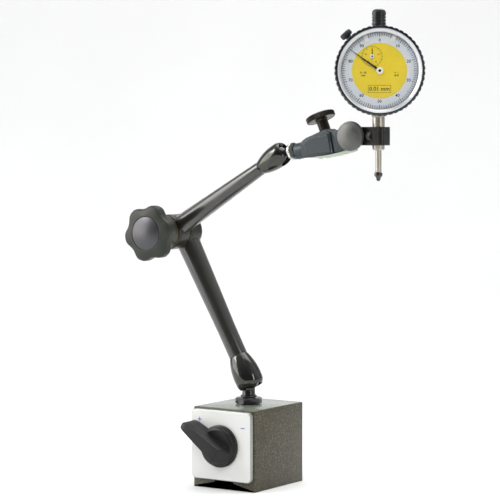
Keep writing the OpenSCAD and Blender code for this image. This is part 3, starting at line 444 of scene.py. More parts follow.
def shade(obj, sharp):
    """Smooth shading, with a hard edge wherever faces meet at more than sharp degrees."""
    obj.data.shade_smooth()
    obj.data.set_sharp_from_angle(angle=radians(sharp))


def stand_for(obj, *nodes):
    """The piece takes the place of these CAD nodes."""
    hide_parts(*nodes)


def turned(name, profile, at, mat, node=None, seg=96, closed=False, steps=4, **keys):
    """Solid of revolution. profile: (radius, height) or (radius, height, corner radius)."""
    path = fillet(profile, closed, steps)
    verts, faces, uvs, rows = [], [], [], []
    length = 0.0
    for i, p in enumerate(path):
        length += (p - path[i - 1]).length if i else 0.0
        count = 1 if p.x < 1e-6 else seg
        rows.append(range(len(verts), len(verts) + count))
        for k in range(count):
            a = TAU * k / seg
            verts.append((p.x * cos(a), p.x * sin(a), p.y))
            uvs.append((abs(2 * k / seg - 1), length))
    pairs = list(zip(rows, rows[1:])) + ([(rows[-1], rows[0])] if closed else [])
    for low, high in pairs:
        for k in range(seg):
            n = k + 1
            quad = [low[k % len(low)], low[n % len(low)], high[n % len(high)], high[k % len(high)]]
            quad = list(dict.fromkeys(quad))
            if len(quad) > 2:
                faces.append(quad)
    return build(name, verts, faces, at, mat, node, sharp=28, uvs=uvs, **keys)


def loft(name, rings, at, mat, node=None, looped=False, **keys):
    """Skin over rings of equal length, with flat caps, or looped from the last ring back to the first."""
    size = len(rings[0])
    verts = [v for ring in rings for v in ring]
    faces = []
    for i in range(len(rings) - (not looped)):
        j = (i + 1) % len(rings)
        for k in range(size):
            n = (k + 1) % size
            faces.append([i * size + k, i * size + n, j * size + n, j * size + k])
    if not looped:
        faces += [list(range(size)), [len(verts) - size + k for k in range(size)]]
    return build(name, verts, faces, at, mat, node, **keys)


def inset(path, amount):
    """Path moved inwards by amount, mitred at its corners. The path runs anticlockwise."""
    out = []
    for i, p in enumerate(path):
        a, b = (p - path[i - 1]), (path[(i + 1) % len(path)] - p)
        na, nb = Vector((-a.y, a.x)).normalized(), Vector((-b.y, b.x)).normalized()
        out.append(p + (na + nb) * amount / max(0.35, 1 + na.dot(nb)))
    return out


def plate(name, outline, low, high, edge, at, mat, node=None, panel=None, **keys):
    """Plate with rounded edges. panel: (border, step) of a sunk or raised field on its top."""
    path, steps, rings = fillet(outline, True), 3, []
    for level, sign in ((low, 1), (high, -1)):
        part = []
        for k in range(steps + 1):
            t = pi / 2 * k / steps
            points = inset(path, edge * (1 - sin(t)))
            part.append([(p.x, p.y, level + sign * edge * (1 - cos(t))) for p in points])
        rings += part[::sign]
    if panel:
        border, step = panel
        for extra, rise in ((edge + border, 0), (edge + border + abs(step) * 0.7, step)):
            rings.append([(p.x, p.y, high + rise) for p in inset(path, extra)])
    return loft(name, rings, at, mat, node, **keys)


def carve(obj, *cutters, sharp=32, soft=0.0):
    """Cuts the cutters out of obj, keeps their materials on the cut faces, and softens the new edges."""
    for c in cutters:
        m = obj.modifiers.new("cut", "BOOLEAN")
        m.operation, m.solver, m.material_mode, m.object = "DIFFERENCE", "EXACT", "TRANSFER", c
    bpy.context.view_layer.update()
    evaluated = obj.evaluated_get(bpy.context.evaluated_depsgraph_get())
    mesh = bpy.data.meshes.new_from_object(evaluated)
    obj.modifiers.clear()
    obj.data = mesh
    for c in cutters:
        bpy.data.objects.remove(c)
    shade(obj, sharp)
    if soft:
        soften(obj, soft)
    return obj


def soften(obj, width, angle=38, dissolve=False):
    if dissolve:
        d = obj.modifiers.new("flat", "DECIMATE")
        d.decimate_type, d.angle_limit = "DISSOLVE", radians(0.6)
    m = obj.modifiers.new("edge", "BEVEL")
    m.width, m.segments, m.limit_method, m.angle_limit = width * MM, 2, "ANGLE", radians(angle)
    m.harden_normals, m.miter_outer = True, "MITER_ARC"


def drum(radius, low, high, at, mat="jaw_cut"):
    """Round cutter for carve()."""
    return turned("cutter", [(0, low), (radius, low), (radius, high), (0, high)], at, mat, seg=48)


def brick(x, y, z, at, mat="jaw_cut"):
    """Box cutter for carve(), from three (low, high) pairs."""
    verts = [(x[i], y[j], z[k]) for i in (0, 1) for j in (0, 1) for k in (0, 1)]
    faces = [(0, 1, 3, 2), (4, 6, 7, 5), (0, 4, 5, 1), (2, 3, 7, 6), (0, 2, 6, 4), (1, 5, 7, 3)]
    return build("cutter", verts, faces, at, mat)


def hex_ring(flats, corner):
    """Hexagon outline from its width across flats and its corner radius."""
    return fillet([(x, y, corner) for x, y in arc(0, 0, flats / sqrt(3), 0, 300, 5)], True, 2)


def hexagon(name, flats, low, high, at, mat, node):
    """Hex nut with its corners turned off by a 30 degree chamfer at both ends."""
    inner, fall, land = flats / 2 - 0.1, 0.55, 0.93
    rings, path = [], hex_ring(flats, 0.5)
    outline = [p for i, a in enumerate(path) for p in (a, a.lerp(path[(i + 1) % len(path)], 0.5))]
    for level, toward in ((low, 1), (high, -1)):
        cone = [(p.x, p.y, level + toward * max(0.0, (p.length - inner) * fall)) for p in outline]
        tips = [p.normalized() * min(p.length, inner) for p in outline]
        flat = [(p.x * land, p.y * land, level) for p in tips]
        rings += [flat, cone] if toward > 0 else [cone, flat]
    return loft(name, rings, at, mat, node, sharp=24)


def knurled(name, radius, low, high, teeth, depth, chamfer, at, mat, node, dish):
    """Disc with a knurled rim, rounded at both edges. dish: how far its top sinks, or rises if below 0."""
    def ring(r, z, d):
        pts = []
        for k in range(teeth * 4):
            a = TAU * k / (teeth * 4)
            reach = r - d * (0, 0.55, 1, 0.55)[k % 4]
            pts.append((reach * cos(a), reach * sin(a), z))
        return pts
    r, c, mid = radius, chamfer, depth * 0.6
    rows = [(r - c * 1.6, low, 0), (r - c * 1.1, low, 0), (r - c * 0.3, low + c * 0.45, mid),
        (r, low + c, depth)]
    rows += [(r, high - c, depth), (r - c * 0.3, high - c * 0.45, mid), (r - c * 1.1, high, 0)]
    rows += [(r - c * 1.8, high, 0)]
    rows += [(r * share, high - dish * sunk, 0) for share, sunk in ((0.72, 0.45), (0.45, 0.8), (0.2, 1))]
    return loft(name, [ring(*row) for row in rows], at, mat, node, sharp=50)


def socket(name, ball, widest, mouth, length, end_r, slot_r, slot_top, at, node):
    """Barrel-shaped ball socket with a lip, a hollow mouth and a slot on its -X side."""
    belly = length * 0.1
    bulge = ((length - belly) ** 2 + (widest - end_r) ** 2) / (2 * (widest - end_r))
    def radius(z):
        tuck = max(0.0, (-0.3 * mouth - z) / (0.7 * mouth))
        return widest - bulge + sqrt(bulge ** 2 - (z - belly) ** 2) - 0.13 * widest * tuck ** 2
    levels = [-mouth + 0.5 + (length + mouth - 0.9) * k / 22 for k in range(23)]
    profile = [(ball * 0.9, -mouth * 0.70), (widest * 0.77, -mouth, 0.25),
        (radius(-mouth) - 0.15, -mouth, 0.4)]
    profile += [(radius(z), z) for z in levels] + [(end_r - 0.1, length, 0.3), (2.0, length)]
    profile += [(2.0, ball), (ball * 0.75, ball * 0.68), (ball + 0.06, 0.0)]
    obj = turned(name, profile, at, "chrome", node, seg=128, closed=True)
    cut = drum(slot_r, -0.5, widest + 2, spun(shifted(at, z=slot_top - slot_r), -90, "Y"), "chrome")
    low = brick((-widest - 2, 0), (-slot_r, slot_r), (-mouth - 2, slot_top - slot_r), at, "chrome")
    return carve(obj, cut, low, sharp=30)


# ---- magnetic base

base_w, base_d, base_top = 25.0, 30.0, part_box("pole_left")[1].z / MM
groove = [(-17.5, 0, 0.2), (-6.65, 4, 0.2), (-6.65, 7, 0.3), (6.65, 7, 0.3), (6.65, 4, 0.2), (17.5, 0, 0.2)]
plate("base_block", [(-base_w, 0, 0.3), *groove, (base_w, 0, 0.3), (base_w, base_top, 1.1),
    (-base_w, base_top, 1.1)], -base_d, base_d, 0.9, place((0, 0, 0), FRONT), "base", "pole_left",
    replaces=("pole_left", "pole_right", "pole_spacer"))
turned("rear_cover_disc", [(0, 0), (17.6, 0, 0.4), (17.6, 0.35, 0.3), (16.2, 0.35, 0.2), (15.6, 0.1, 0.2),
    (0, 0.1)], place((0, (base_d - 0.2) * MM, joint_at("switch_turn").z), -FRONT), "ground", "rear_cover")
low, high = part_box("face_plate")
mid, front_y = (low.z + high.z) / 2 / MM, -low.y / MM
half_w, half_h = high.x / MM, (high.z - low.z) / 2 / MM


def rounded_box(a, b, r, cx=0.0, cy=0.0):
    """Rectangle outline from its half sizes, corner radius and centre."""
    return [(cx - a, cy - b, r), (cx + a, cy - b, r), (cx + a, cy + b, r), (cx - a, cy + b, r)]


PLATE = place((0, 0, mid * MM), FRONT)
plate("face_plate_body", rounded_box(half_w, half_h, 3.2), front_y - 3.2, front_y - 0.08, 0.75, PLATE, "rim",
    "face_plate")
plate("face_plate_field", rounded_box(half_w - 0.6, half_h - 0.6, 2.7), front_y - 0.6, front_y, 0.12, PLATE,
    "white", body="base")
for label, x, z, strokes in (("plus", -17.4, 47.0, ((1.6, 0.28), (0.28, 1.6))),
        ("minus", 17.8, 43.2, ((1.7, 0.28),))):
    for i, (a, b) in enumerate(strokes):
        plate(f"mark_{label}_{i}", rounded_box(a, b, 0.05, x, z - mid), front_y - 0.05,
            front_y + 0.02 + 0.004 * i, 0.01, PLATE, "blue", body="base")

# ---- switch lever

lever_z, lever_angle = front_y + 0.4, 145
LEVER = spun(SWITCH, lever_angle)
turned("lever_skirt", [(5.2, lever_z + 0.6), (13.6, lever_z + 0.6, 0.3), (14.3, lever_z, 0.2),
    (14.3, lever_z + 2.2, 0.5), (13.3, lever_z + 2.6, 0.3), (13.1, lever_z + 5.0, 0.9),
    (11.6, lever_z + 6.0, 0.6), (4.0, lever_z + 5.6), (0, lever_z + 5.6)], SWITCH, "lever", "switch_lever",
    seg=128)


def grip_rings():
    """Sections from heel to tip. Rows: place along the grip, half widths and levels of foot and crest."""
    rows = [(-12.7, 1.8, 1.4, 4.4, 5.6), (-12.2, 3.8, 3.1, 4.2, 6.6), (-11.0, 6.0, 4.3, 4.0, 8.9),
        (-9.2, 7.5, 4.7, 2.0, 12.2), (-7.7, 8.0, 4.8, 1.2, 14.9), (-7.2, 8.1, 4.8, 1.0, 15.6),
        (-6.8, 8.1, 4.8, 1.0, 15.8), (-2.0, 7.5, 4.6, 1.0, 16.1), (4.0, 6.3, 4.1, 1.0, 16.3),
        (9.0, 5.2, 3.7, 1.0, 16.5), (14.0, 4.4, 3.3, 1.0, 16.6), (18.5, 3.8, 2.9, 1.0, 16.7),
        (22.4, 3.3, 2.6, 1.0, 16.7), (24.6, 2.9, 2.2, 1.3, 16.4), (25.8, 2.3, 1.7, 2.2, 15.5),
        (26.3, 1.2, 0.8, 4.0, 13.6)]
    rings = []
    for x, foot, crest, low, high in rows:
        waist, level = crest + 0.2 * (foot - crest), low + 0.42 * (high - low)
        outline = fillet([(-foot, low, 0.6), (foot, low, 0.6), (waist, level, 2.0), (crest, high, 0.45),
            (-crest, high, 0.45), (-waist, level, 2.0)], True)
        rings.append([(x, p.x, lever_z + p.y) for p in outline])
    return rings


grip = loft("lever_grip", grip_rings(), LEVER, "lever", body="switch")

# ---- ball stud and lower arm

top, ball_r, ball_z, nut_angle = base_top, 7.3, ball1.z / MM, 41
hexagon("lock_nut_hex", 16, top + 0.05, top + 5, spun(BASE, nut_angle), "black", "lock_nut")
turned("ball_stud_body", [(0, top - 7), (4, top - 7), (4, top + 5.1), (5.6, top + 5.1, 0.2),
    (5.6, top + 6.1, 0.6), (4.7, top + 6.5, 0.4), (4.45, top + 7.2), (4.45, 66.2)] +
    arc(0, ball_z, ball_r, -52, 90, 20), BASE, "black", "ball_stud")
socket("lower_socket_body", ball_r, 9.75, 5.9, 17.5, 6.6, 4.8, 2.2, LOWER, "lower_socket")
turned("lower_tube_body", [(3.0, 14), (6.0, 14), (6.0, 17.4, 0.2), (6.35, 17.7, 0.3), (6.45, 18.6), (6.5, 38),
    (8.15, lower_len - 10), (6, lower_len - 6), (3.0, lower_len - 6)], LOWER, "tube", "lower_tube",
    closed=True)


def knuckle(name, near, far, at, mat, node):
    """Round bored knuckle between two levels, with full soft edges."""
    turned(name, [(6.05, near), (12.2, near, 3.6), (12.2, far, 3.6), (6.05, far)], at, mat, node, seg=128,
        steps=8, closed=True)


knuckle("lower_knuckle_body", -7.4, 6.85, ELBOW, "knuckle", "lower_knuckle")
knuckle("upper_knuckle_body", 7.15, 21.0, ELBOW, "knuckle", "upper_knuckle")
bolt_head = turned("elbow_bolt_head", [(0, 9), (3, 9), (3, -7.42), (8, -7.42, 0.2), (8, -8.2, 0.8),
    (6.4, -9.8, 1.2), (3.2, -10.4, 0.5), (0, -10.4)], ELBOW, "black", "elbow_bolt")
carve(bolt_head, loft("cutter", [[(p.x, p.y, z) for p in hex_ring(5, 0.1)] for z in (-12, -8.6)], ELBOW,
    "black"))


def grooves(first, pitch, count, rim, floor):
    """Round grooves in a profile. rim, floor: (radius, half width, corner radius)."""
    out = []
    for i in range(count):
        for (radius, half, corner), side in ((rim, -1), (floor, -1), (floor, 1), (rim, 1)):
            out.append((radius, first + pitch * i + side * half, corner))
    return out


turned("elbow_collar_body", [(3.1, 22), (11, 22, 0.2), (11.9, 22.8, 0.4)] +
    grooves(23.9, 1.3, 4, (11.9, 0.32, 0.08), (11.55, 0.1, 0.1)) +
    [(11.9, 29.6, 0.4), (11, 31.15, 0.3), (3.1, 31.15)], ELBOW, "collar", "elbow_collar", closed=True,
    seg=128)

# ---- star knob


def star_ring(radius, wave, z):
    """Six broad lobes with blunt tips, and concave hollows between them."""
    lobes, phase, points = 6, radians(18), 180

    def reach(a):
        off = abs((a / TAU * lobes) % 1 - 0.5) * 2
        return radius - 1.05 * wave * max(0.0, 1 - (off / 0.66) ** 2)
    out = []
    for k in range(points):
        a = TAU * k / points
        r = sum(reach(a + radians(2 * i)) for i in range(-3, 4)) / 7
        a += phase
        out.append((r * sin(a), r * cos(a), z))
    return out


back, face = 31.4, 44.1
# (radius, depth of the hollows, height above the back) up the side and over the rim
rows = [(9, 0, 0), (12.4, 0, 0.05), (13.4, 0.4, 0.5), (16.0, 1.5, 2.0), (18.3, 2.3, 3.4), (19.3, 2.5, 4.6),
    (19.5, 2.5, 6), (19.5, 2.5, 9.6), (19.35, 2.5, 10.5), (18.9, 2.45, 11.1), (18.2, 2.35, 11.5),
    (17.0, 2.0, 11.85), (14.8, 1.2, 12.25), (12.6, 0.3, 12.55), (11.9, 0, 12.65), (11.5, 0, 12.5),
    (11.45, 0, 12.2), (5, 0, 12.2)]
loft("star_knob_body", [star_ring(r, wave, back + z) for r, wave, z in rows], ELBOW, "knob", "star_knob",
    sharp=60)
cap_r, crown, rim_tilt, steps = 11.25, 38, 0.30, 12
tilts = [rim_tilt * (1 - k / steps) for k in range(steps + 1)]
dome = [(cap_r * sin(t) / sin(rim_tilt), face + 1.65 - crown * (1 - cos(t))) for t in tilts]
turned("knob_cap_dome", [(0, face - 0.5), (cap_r, face - 0.5), (cap_r, face - 0.1, 0.1)] + dome, ELBOW, "cap",
    "knob_cap", seg=128)

# ---- upper arm and head

turned("upper_tube_body", [(3.0, 12), (4.3, 12), (4.3, 16.9, 0.2), (4.6, 17.2, 0.2), (4.7, 18.2),
    (6.9, upper_len - 10), (5.5, upper_len - 6), (3, upper_len - 6)], UPPER, "tube", "upper_tube",
    closed=True)
small_ball_r, nut_angle = 5.6, 15
socket("upper_socket_body", small_ball_r, 7.9, 5.0, 17.0, 4.75, 3.3, 1.6, UPPER, "upper_socket")
turned("head_stud_body", arc(0, 0, small_ball_r, -90, 52.5, 19) +
    [(2.9, 5.3), (2.9, 6.7, 0.3), (3.2, 7.0, 0.3), (4.5, 8.0, 0.3), (4.6, 8.75, 0.2), (3.0, 8.8), (2.9, 16),
    (0, 16)], HEAD_AXIS, "black", "head_stud")
hexagon("head_nut_hex", 10, 10.9, 13.8, spun(HEAD_AXIS, nut_angle), "casting", "head_nut")
turned("head_nut_collar", [(3.1, 8.9), (5.2, 8.9, 0.5), (5.75, 9.6, 0.3), (5.75, 10.8, 0.3), (5.0, 11.1, 0.2),
    (3.1, 11.1)], HEAD_AXIS, "nickel", body="head", closed=True)
HEAD_SIDE, HEAD_BACK = spun(HEAD, 90, "X"), spun(HEAD, -90, "X")
body_outline = [(21, -5, 0.8), (22.6, -6.6, 1.6), (29.5, -7.2, 2), (38.5, -7.7, 0.5), (39.2, -7.5, 0.3),
    (45, -7.5, 0.4), (45, 6.3, 0.6), (42.6, 8.9, 0.6), (34, 7.5, 0.6), (31, 6.9, 2), (26, 6.2, 2),
    (22.6, 4.8, 1.8), (21, 3, 0.8)]
casting = plate("head_body_casting", body_outline, -6.25, 6.25, 0.9, HEAD_SIDE, "casting", "head_body")
turned("head_neck", [(3.1, 14), (4.9, 14, 0.3), (5.4, 14.6, 0.3), (5.4, 24), (3.1, 24)],
    shifted(HEAD_AXIS, 0.7), "casting", body="head", closed=True)
outline = [(24.0, -5.2, 1.6), (43.6, -6.6, 0.5), (43.6, 5.3, 0.5), (31, 5.6, 2), (24.0, 3.4, 2)]
mirrored = [(x, -y, r) for x, y, r in outline][::-1]
for name, path, at in (("back", mirrored, HEAD_BACK), ("front", outline, HEAD_SIDE)):
    plate("head_panel_" + name, path, 5.9, 6.75, 0.4, at, "casting", body="head", panel=(0.4, -0.18))
shoulder = 55.6
plate("head_carrier_casting", [(45.8, -7.5, 0.4), (48, -7.5, 0.3), (48.5, -7.9, 0.3), (52, -7.8, 0.5),
    (shoulder, -7.5, 1.0), (shoulder + 0.6, 4.6, 1.4), (53.5, 6.4, 1.0), (45.8, 6.6, 0.4)], -6.25, 6.25, 0.8,
    HEAD_SIDE, "casting", "head_carrier")
plate("head_carrier_tongue", rounded_box(5.2, 5.7, 0.3, shoulder + 1.4, 0), -2, 2, 0.25, HEAD_SIDE, "casting",
    body="carrier")
turned("head_carrier_eye", [(2.55, -2), (5.7, -2, 0.25), (5.7, 2, 0.25), (2.55, 2)], shifted(HEAD_SIDE, 62.1),
    "casting", body="carrier", closed=True)
plate("head_carrier_tail", rounded_box(4.6, 1.2, 0.3, 40.9, -4.5), -2.6, 2.6, 0.3, HEAD_SIDE, "casting",
    body="carrier")
bow_r, bow_x, bow_low = 103.0, 45, -9.4


def strip():
    """Leaf spring: a bowed strip with rounded ends between the body and the carrier."""
    verts, faces, steps, across, start, length = [], [], 36, 6, 29.5, 29.0
    for i in range(steps + 1):
        x = start + length * i / steps
        end = min(i, steps - i) * length / steps
        width = 5.4 * sqrt(max(0.0, 1 - (1 - min(end / 2.2, 1)) ** 2)) if end < 2.2 else 5.4
        width = max(width, 1.2)
        low = bow_low + bow_r - sqrt(bow_r ** 2 - (x - bow_x) ** 2)
        for level in (0.0, 1.2):
            for k in range(across + 1):
                y = -width + 2 * width * k / across
                verts.append((x, y, low + level))
    t = across + 1
    row = 2 * t
    for i in range(steps):
        a, b = i * row, (i + 1) * row
        for k in range(across):
            faces.append([a + k, a + k + 1, b + k + 1, b + k])
            faces.append([a + t + k, b + t + k, b + t + k + 1, a + t + k + 1])
        faces.append([a, b, b + t, a + t])
        faces.append([a + across, a + row - 1, b + row - 1, b + across])
    for a in (0, steps * row):
        for k in range(across):
            faces.append([a + k, a + t + k, a + t + k + 1, a + k + 1])
    obj = build("leaf_spring_strip", verts, faces, HEAD, "spring", sharp=40)
    soften(obj, 0.12)
    stand_for(obj, "leaf_spring")
    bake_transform(obj)


strip()
for i, (x, owner) in enumerate(((32, "head"), (37, "head"), (50.5, "carrier"), (54, "carrier"))):
    low = bow_low + (x - bow_x) ** 2 / (2 * bow_r)
    screw = turned(f"leaf_screw_{i}", [(0, low - 0.5), (1.3, low - 0.5, 0.2), (1.8, low - 0.25, 0.2),
        (1.8, low + 0.12), (1, low + 0.12), (1, low + 1.4), (0, low + 1.4)], shifted(HEAD, x), "screw",
        body=owner, seg=40)
    if owner == "head":
        carve(screw, brick((-3, 3), (-0.25, 0.25), (low - 2, low - 0.25), shifted(HEAD, x), "screw"))
    if i == 0:
        stand_for(screw, "leaf_screws")

knurled("fine_screw_disc", 9.8, 8, 11.6, 60, 0.34, 0.55, FINE, "knurl_dark", "fine_screw", dish=0.25)
turned("fine_screw_shank", [(0, -9), (2, -9, 0.3), (2, 0.3), (3.5, 0.3, 0.2), (3.8, 0.6, 0.2),
    (3.8, 7.0, 0.5), (4.6, 8.05), (0, 8.05)], FINE, "knurl_dark", body="fine_knob")
carve(casting, drum(2.15, -9.4, 4, FINE), drum(4.1, -0.15, 6, FINE))

# ---- jaw

jaw = plate("jaw_block_body", [(-6, -6, 5.9), (21.5, -6, 0.35), (21.5, 6, 0.35), (-6, 6, 5.9)], -6, 6, 0.25,
    JAW_FRONT, "jaw", "jaw")
corners = []
for side in (-1, 1):
    ring = [(23, side * 3.1), (23, side * 7), (18.7, side * 7)] + arc(18.7, side * 3.15, 2.85, side * 90, 0,
        8)
    corners.append(loft("cutter", [[(x, y, z) for x, y in ring] for z in (-7, 7)], JAW, "jaw"))
cross_hole, hinge_bore = drum(2.8, -7, 7, shifted(JAW_FRONT, 12.2)), drum(2.55, -7, 7, JAW_FRONT)
carve(jaw, *corners, brick((-7, 15.3), (-2.05, 2.05), (-7, 7), JAW), drum(4.03, -7, 7, shifted(JAW, 15.3)),
    cross_hole, hinge_bore, sharp=30, soft=0.18)
turned("jaw_washer_disc", [(2.55, 6.1), (4.6, 6.1, 0.2), (4.6, 7.0, 0.2), (2.55, 7.0)], JAW_FRONT, "steel",
    "jaw_washer", closed=True, seg=64)
knurled("jaw_knob_disc", 9.6, 8.0, 11.4, 64, 0.28, 0.55, JAW_FRONT, "knurl_grey", "jaw_knob", dish=-0.9)
turned("jaw_knob_screw", [(0, -7), (2.1, -7, 0.3), (2.5, -6.6), (2.5, 7.05), (5.0, 7.05, 0.2), (5.0, 8.05),
    (0, 8.05)], JAW_FRONT, "steel", body="jaw_clamp_knob", seg=48)

# ---- indicator: case, stem and spindle

turned("indicator_case_ring", [(24.0, -7.5), (26.2, -7.5, 0.3), (26.2, 7.4, 0.3), (24.0, 7.4)], DIAL, "case",
    "indicator_case", closed=True, seg=144)
CLAMP = place(joint_at("bezel_turn"), joint_axis("bezel_clamp_turn"), reader)
turned("clamp_boss", [(1.6, 24.5), (3.4, 24.5), (3.4, 27.9, 0.5), (2.6, 28.3, 0.2), (1.6, 28.3)], CLAMP,
    "case", body="indicator", closed=True, seg=48)
turned("back_cover_disc", [(0, 0), (26.2, 0, 0.1), (26.2, 0.7, 0.3), (25.4, 1.5, 0.4), (22.6, 1.5, 0.1),
    (22.3, 1.3, 0.1), (21.6, 1.3, 0.1), (21.3, 1.5, 0.1), (0, 1.5)], spun(shifted(DIAL, z=-7.5), 180, "X"),
    "case", "back_cover", seg=144)
for i, (x, y) in enumerate(arc(0, 0, 25, 45, 315, 3)):
    spot = spun(shifted(DIAL, x, y, -9), 180, "X")
    head = turned(f"back_screw_{i}", [(0, -0.3), (1.5, -0.3), (1.5, 0.5, 0.25), (1.1, 0.82, 0.2), (0, 0.85)],
        spot, "screw", body="indicator", seg=40)
    carve(head, brick((-2, 2), (-0.2, 0.2), (0.42, 2), spun(spot, degrees(0.5 + i * 1.1)), "screw"))
    if i == 0:
        stand_for(head, "back_cover_screws")
stem_end, tip = -50.8, -65.2
turned("stem_tube", [(2.05, stem_end), (3.3, stem_end, 0.1), (4, stem_end + 0.7, 0.1), (4, -30.2, 0.1),
    (3.85, -30, 0.1), (3.85, -29.4, 0.1), (4.6, -29.2, 0.2), (4.6, -26.3), (2.05, -26.3)], STEM, "stem",
    "stem", closed=True, seg=80)
turned("spindle_rod", [(0, tip), (1.8, tip), (2, tip + 0.25, 0.1), (2, 27.4, 0.2), (1.7, 27.5), (0, 27.5)],
    STEM, "stem", "spindle", seg=56)
turned("contact_tip", arc(0, tip - 4.3, 1.4, -90, 10, 12) + [(1.65, tip - 3.4, 0.4), (2.65, tip - 2.2, 0.4),
    (2.65, tip - 0.35, 0.3), (2.2, tip - 0.02, 0.1), (0, tip - 0.02)], STEM, "contact", "contact_point",
    seg=64)
turned("top_cap_body", [(2.4, 26.4), (4.1, 26.4), (4.1, 29.3, 0.2), (4.55, 29.6, 0.2)] +
    grooves(31.6, 1.9, 3, (4.55, 0.5, 0.12), (4.15, 0.25, 0.15)) +
    [(4.55, 37.6, 0.4), (3.9, 39.1, 0.6), (2.3, 39.8, 0.4), (0, 39.8), (0, 38.4), (2.4, 38.2)], STEM, "case",
    "top_cap", seg=80)
knurled("bezel_clamp_head", 4.0, 29.6, 33.5, 30, 0.22, 1.0, CLAMP, "case", "bezel_clamp", dish=0.15)
turned("bezel_clamp_shank", [(0, 25.8), (1.5, 25.8), (1.5, 28.4), (2, 28.5), (2, 29.7), (0, 29.7)], CLAMP,
    "case", body="rim_clamp", seg=40)

# ---- bezel and dial


def scalloped(name, profile, count, at, mat, node):
    """Closed ring whose outline has shallow round notches. profile: (radius, level, share of the notch)."""
    per, rings = 10, []
    for r, z, share in profile:
        ring, pitch = [], TAU * r / count
        for k in range(count * per):
            across = (k % per) / per * pitch
            gap = min(across, pitch - across)
            notch = max(0.0, sqrt(max(0.0, 1.15 ** 2 - gap ** 2)) - 0.75) if share else 0.0
            a = TAU * k / (count * per)
            ring.append(((r - notch * share) * cos(a), (r - notch * share) * sin(a), z))
        rings.append(ring)
    return loft(name, rings, at, mat, node, looped=True, sharp=34)


scalloped("bezel_rim", [(26.26, 4.75, 0), (28.1, 4.75, 0.3), (28.7, 4.97, 0.8), (28.95, 5.4, 1),
    (29, 5.85, 1), (29, 12.7, 1), (28.95, 13.15, 1), (28.7, 13.58, 0.8), (28.1, 13.8, 0.3), (27.25, 13.8, 0),
    (27.06, 13.65, 0), (27.05, 12.2, 0), (25.65, 12.2, 0), (25.65, 7.45, 0), (26.25, 7.45, 0)], 50, DIAL,
    "bezel", "bezel")
turned("bezel_ring_plated", [(24.8, 12.26), (27, 12.26), (27, 14.2, 0.2), (26.4, 14.45, 0.3),
    (24.8, 12.95, 0.1)], DIAL, "plated", "bezel_ring", closed=True, seg=160)
turned("lens_disc", [(0, 10.8), (25.5, 10.8, 0.1), (25.5, 12.18, 0.2), (24.6, 12.2), (0, 12.2)], DIAL, "lens",
    "lens", seg=144)
turned("dial_scale_ring", [(17.75, 7.5), (25.5, 7.5), (25.5, 8.2), (17.75, 8.2, 0.05)], DIAL, "dial_white",
    "dial_ring", closed=True, seg=160)
turned("dial_centre_plate", [(0.9, 7.4), (17.7, 7.4), (17.7, 8.1, 0.08), (0.9, 8.1)], DIAL, "dial_yellow",
    "dial_centre", closed=True, seg=144)


ink = 0.03
scale_ink, centre_ink = 8.19, 8.09


def bars(name, rows, level, body):
    """Printed strokes as thin raised plates. rows: (centre, angle, half width, inner and outer radius)."""
    verts, faces = [], []
    for centre, angle, half, inner, outer in rows:
        out = Vector((sin(angle), cos(angle)))
        side = Vector((out.y, -out.x)) * half
        near, far = Vector(centre) + out * inner, Vector(centre) + out * outer
        flat = [near - side, near + side, far + side, far - side]
        n = len(verts)
        verts += [(p.x, p.y, z) for z in (level, level + ink) for p in flat]
        faces += [[n, n + 1, n + 2, n + 3], [n + 4, n + 5, n + 6, n + 7]]
        faces += [[n + k, n + (k + 1) % 4, n + 4 + (k + 1) % 4, n + 4 + k] for k in range(4)]
    return build(name, verts, faces, DIAL, "ink", body=body)


def printed_circle(name, inner, outer, level, at, body, seg):
    path = [(inner, level), (outer, level), (outer, level + ink), (inner, level + ink)]
    turned(name, path, at, "ink", body=body, closed=True, seg=seg)


def lettering(name, words, level, body):
    """Words printed on the dial, upright. words: (text, x, y, height)."""
    made, em = [], 1.38
    for text, x, y, size in words:
        curve = bpy.data.curves.new("numeral", "FONT")
        curve.body, curve.size, curve.align_x, curve.align_y = text, size * em * MM, "CENTER", "CENTER"
        curve.extrude, curve.resolution_u, curve.offset = 0.01 * MM, 3, 0.05 * MM
        obj = link("numeral", curve)
        obj.matrix_world = shifted(DIAL, x, y, level + 0.02)
        bpy.context.view_layer.update()
        mesh = bpy.data.meshes.new_from_object(obj.evaluated_get(bpy.context.evaluated_depsgraph_get()))
        mesh.transform(obj.matrix_world)
        made.append(mesh)
        bpy.data.objects.remove(obj)
    bm = bmesh.new()
    for mesh in made:
        bm.from_mesh(mesh)
    bmesh.ops.remove_doubles(bm, verts=bm.verts, dist=1e-7)
    mesh = bpy.data.meshes.new(name)
    bm.to_mesh(mesh)
    bm.free()
    mesh.materials.append(MAT["ink"])
    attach(link(name, mesh), body)


ticks = []
for i in range(100):
    half, inner = (0.17, 21.7) if i % 10 == 0 else (0.15, 21.9) if i % 5 == 0 else (0.125, 22.3)
    ticks.append(((0, 0), TAU * i / 100, half, inner, 24.3))
bars("dial_ticks", ticks, scale_ink, "rim")
printed_circle("dial_tick_circle", 24.5, 24.72, scale_ink, DIAL, "rim", 160)
numerals = [(str(i * 10), 19.55 * sin(TAU * i / 10), 19.55 * cos(TAU * i / 10), 2.0) for i in range(10)]
lettering("dial_numerals", numerals, scale_ink, "rim")
small_x, small_y = -4.8, 9.2
sub_ticks = []
for i in range(20):
    half, inner = (0.06, 5.7) if i % 2 else (0.09, 5.0)
    sub_ticks.append(((small_x, small_y), TAU * i / 20, half, inner, 6.4))
bars("counter_ticks", sub_ticks, centre_ink, "indicator")
SMALL = shifted(DIAL, small_x, small_y)
printed_circle("counter_circle", 6.38, 6.56, centre_ink, SMALL, "indicator", 96)
words = [(str(i), small_x + 4.1 * sin(TAU * i / 10), small_y + 4.1 * cos(TAU * i / 10), 1.05)
    for i in (0, 2, 4, 6, 8)]
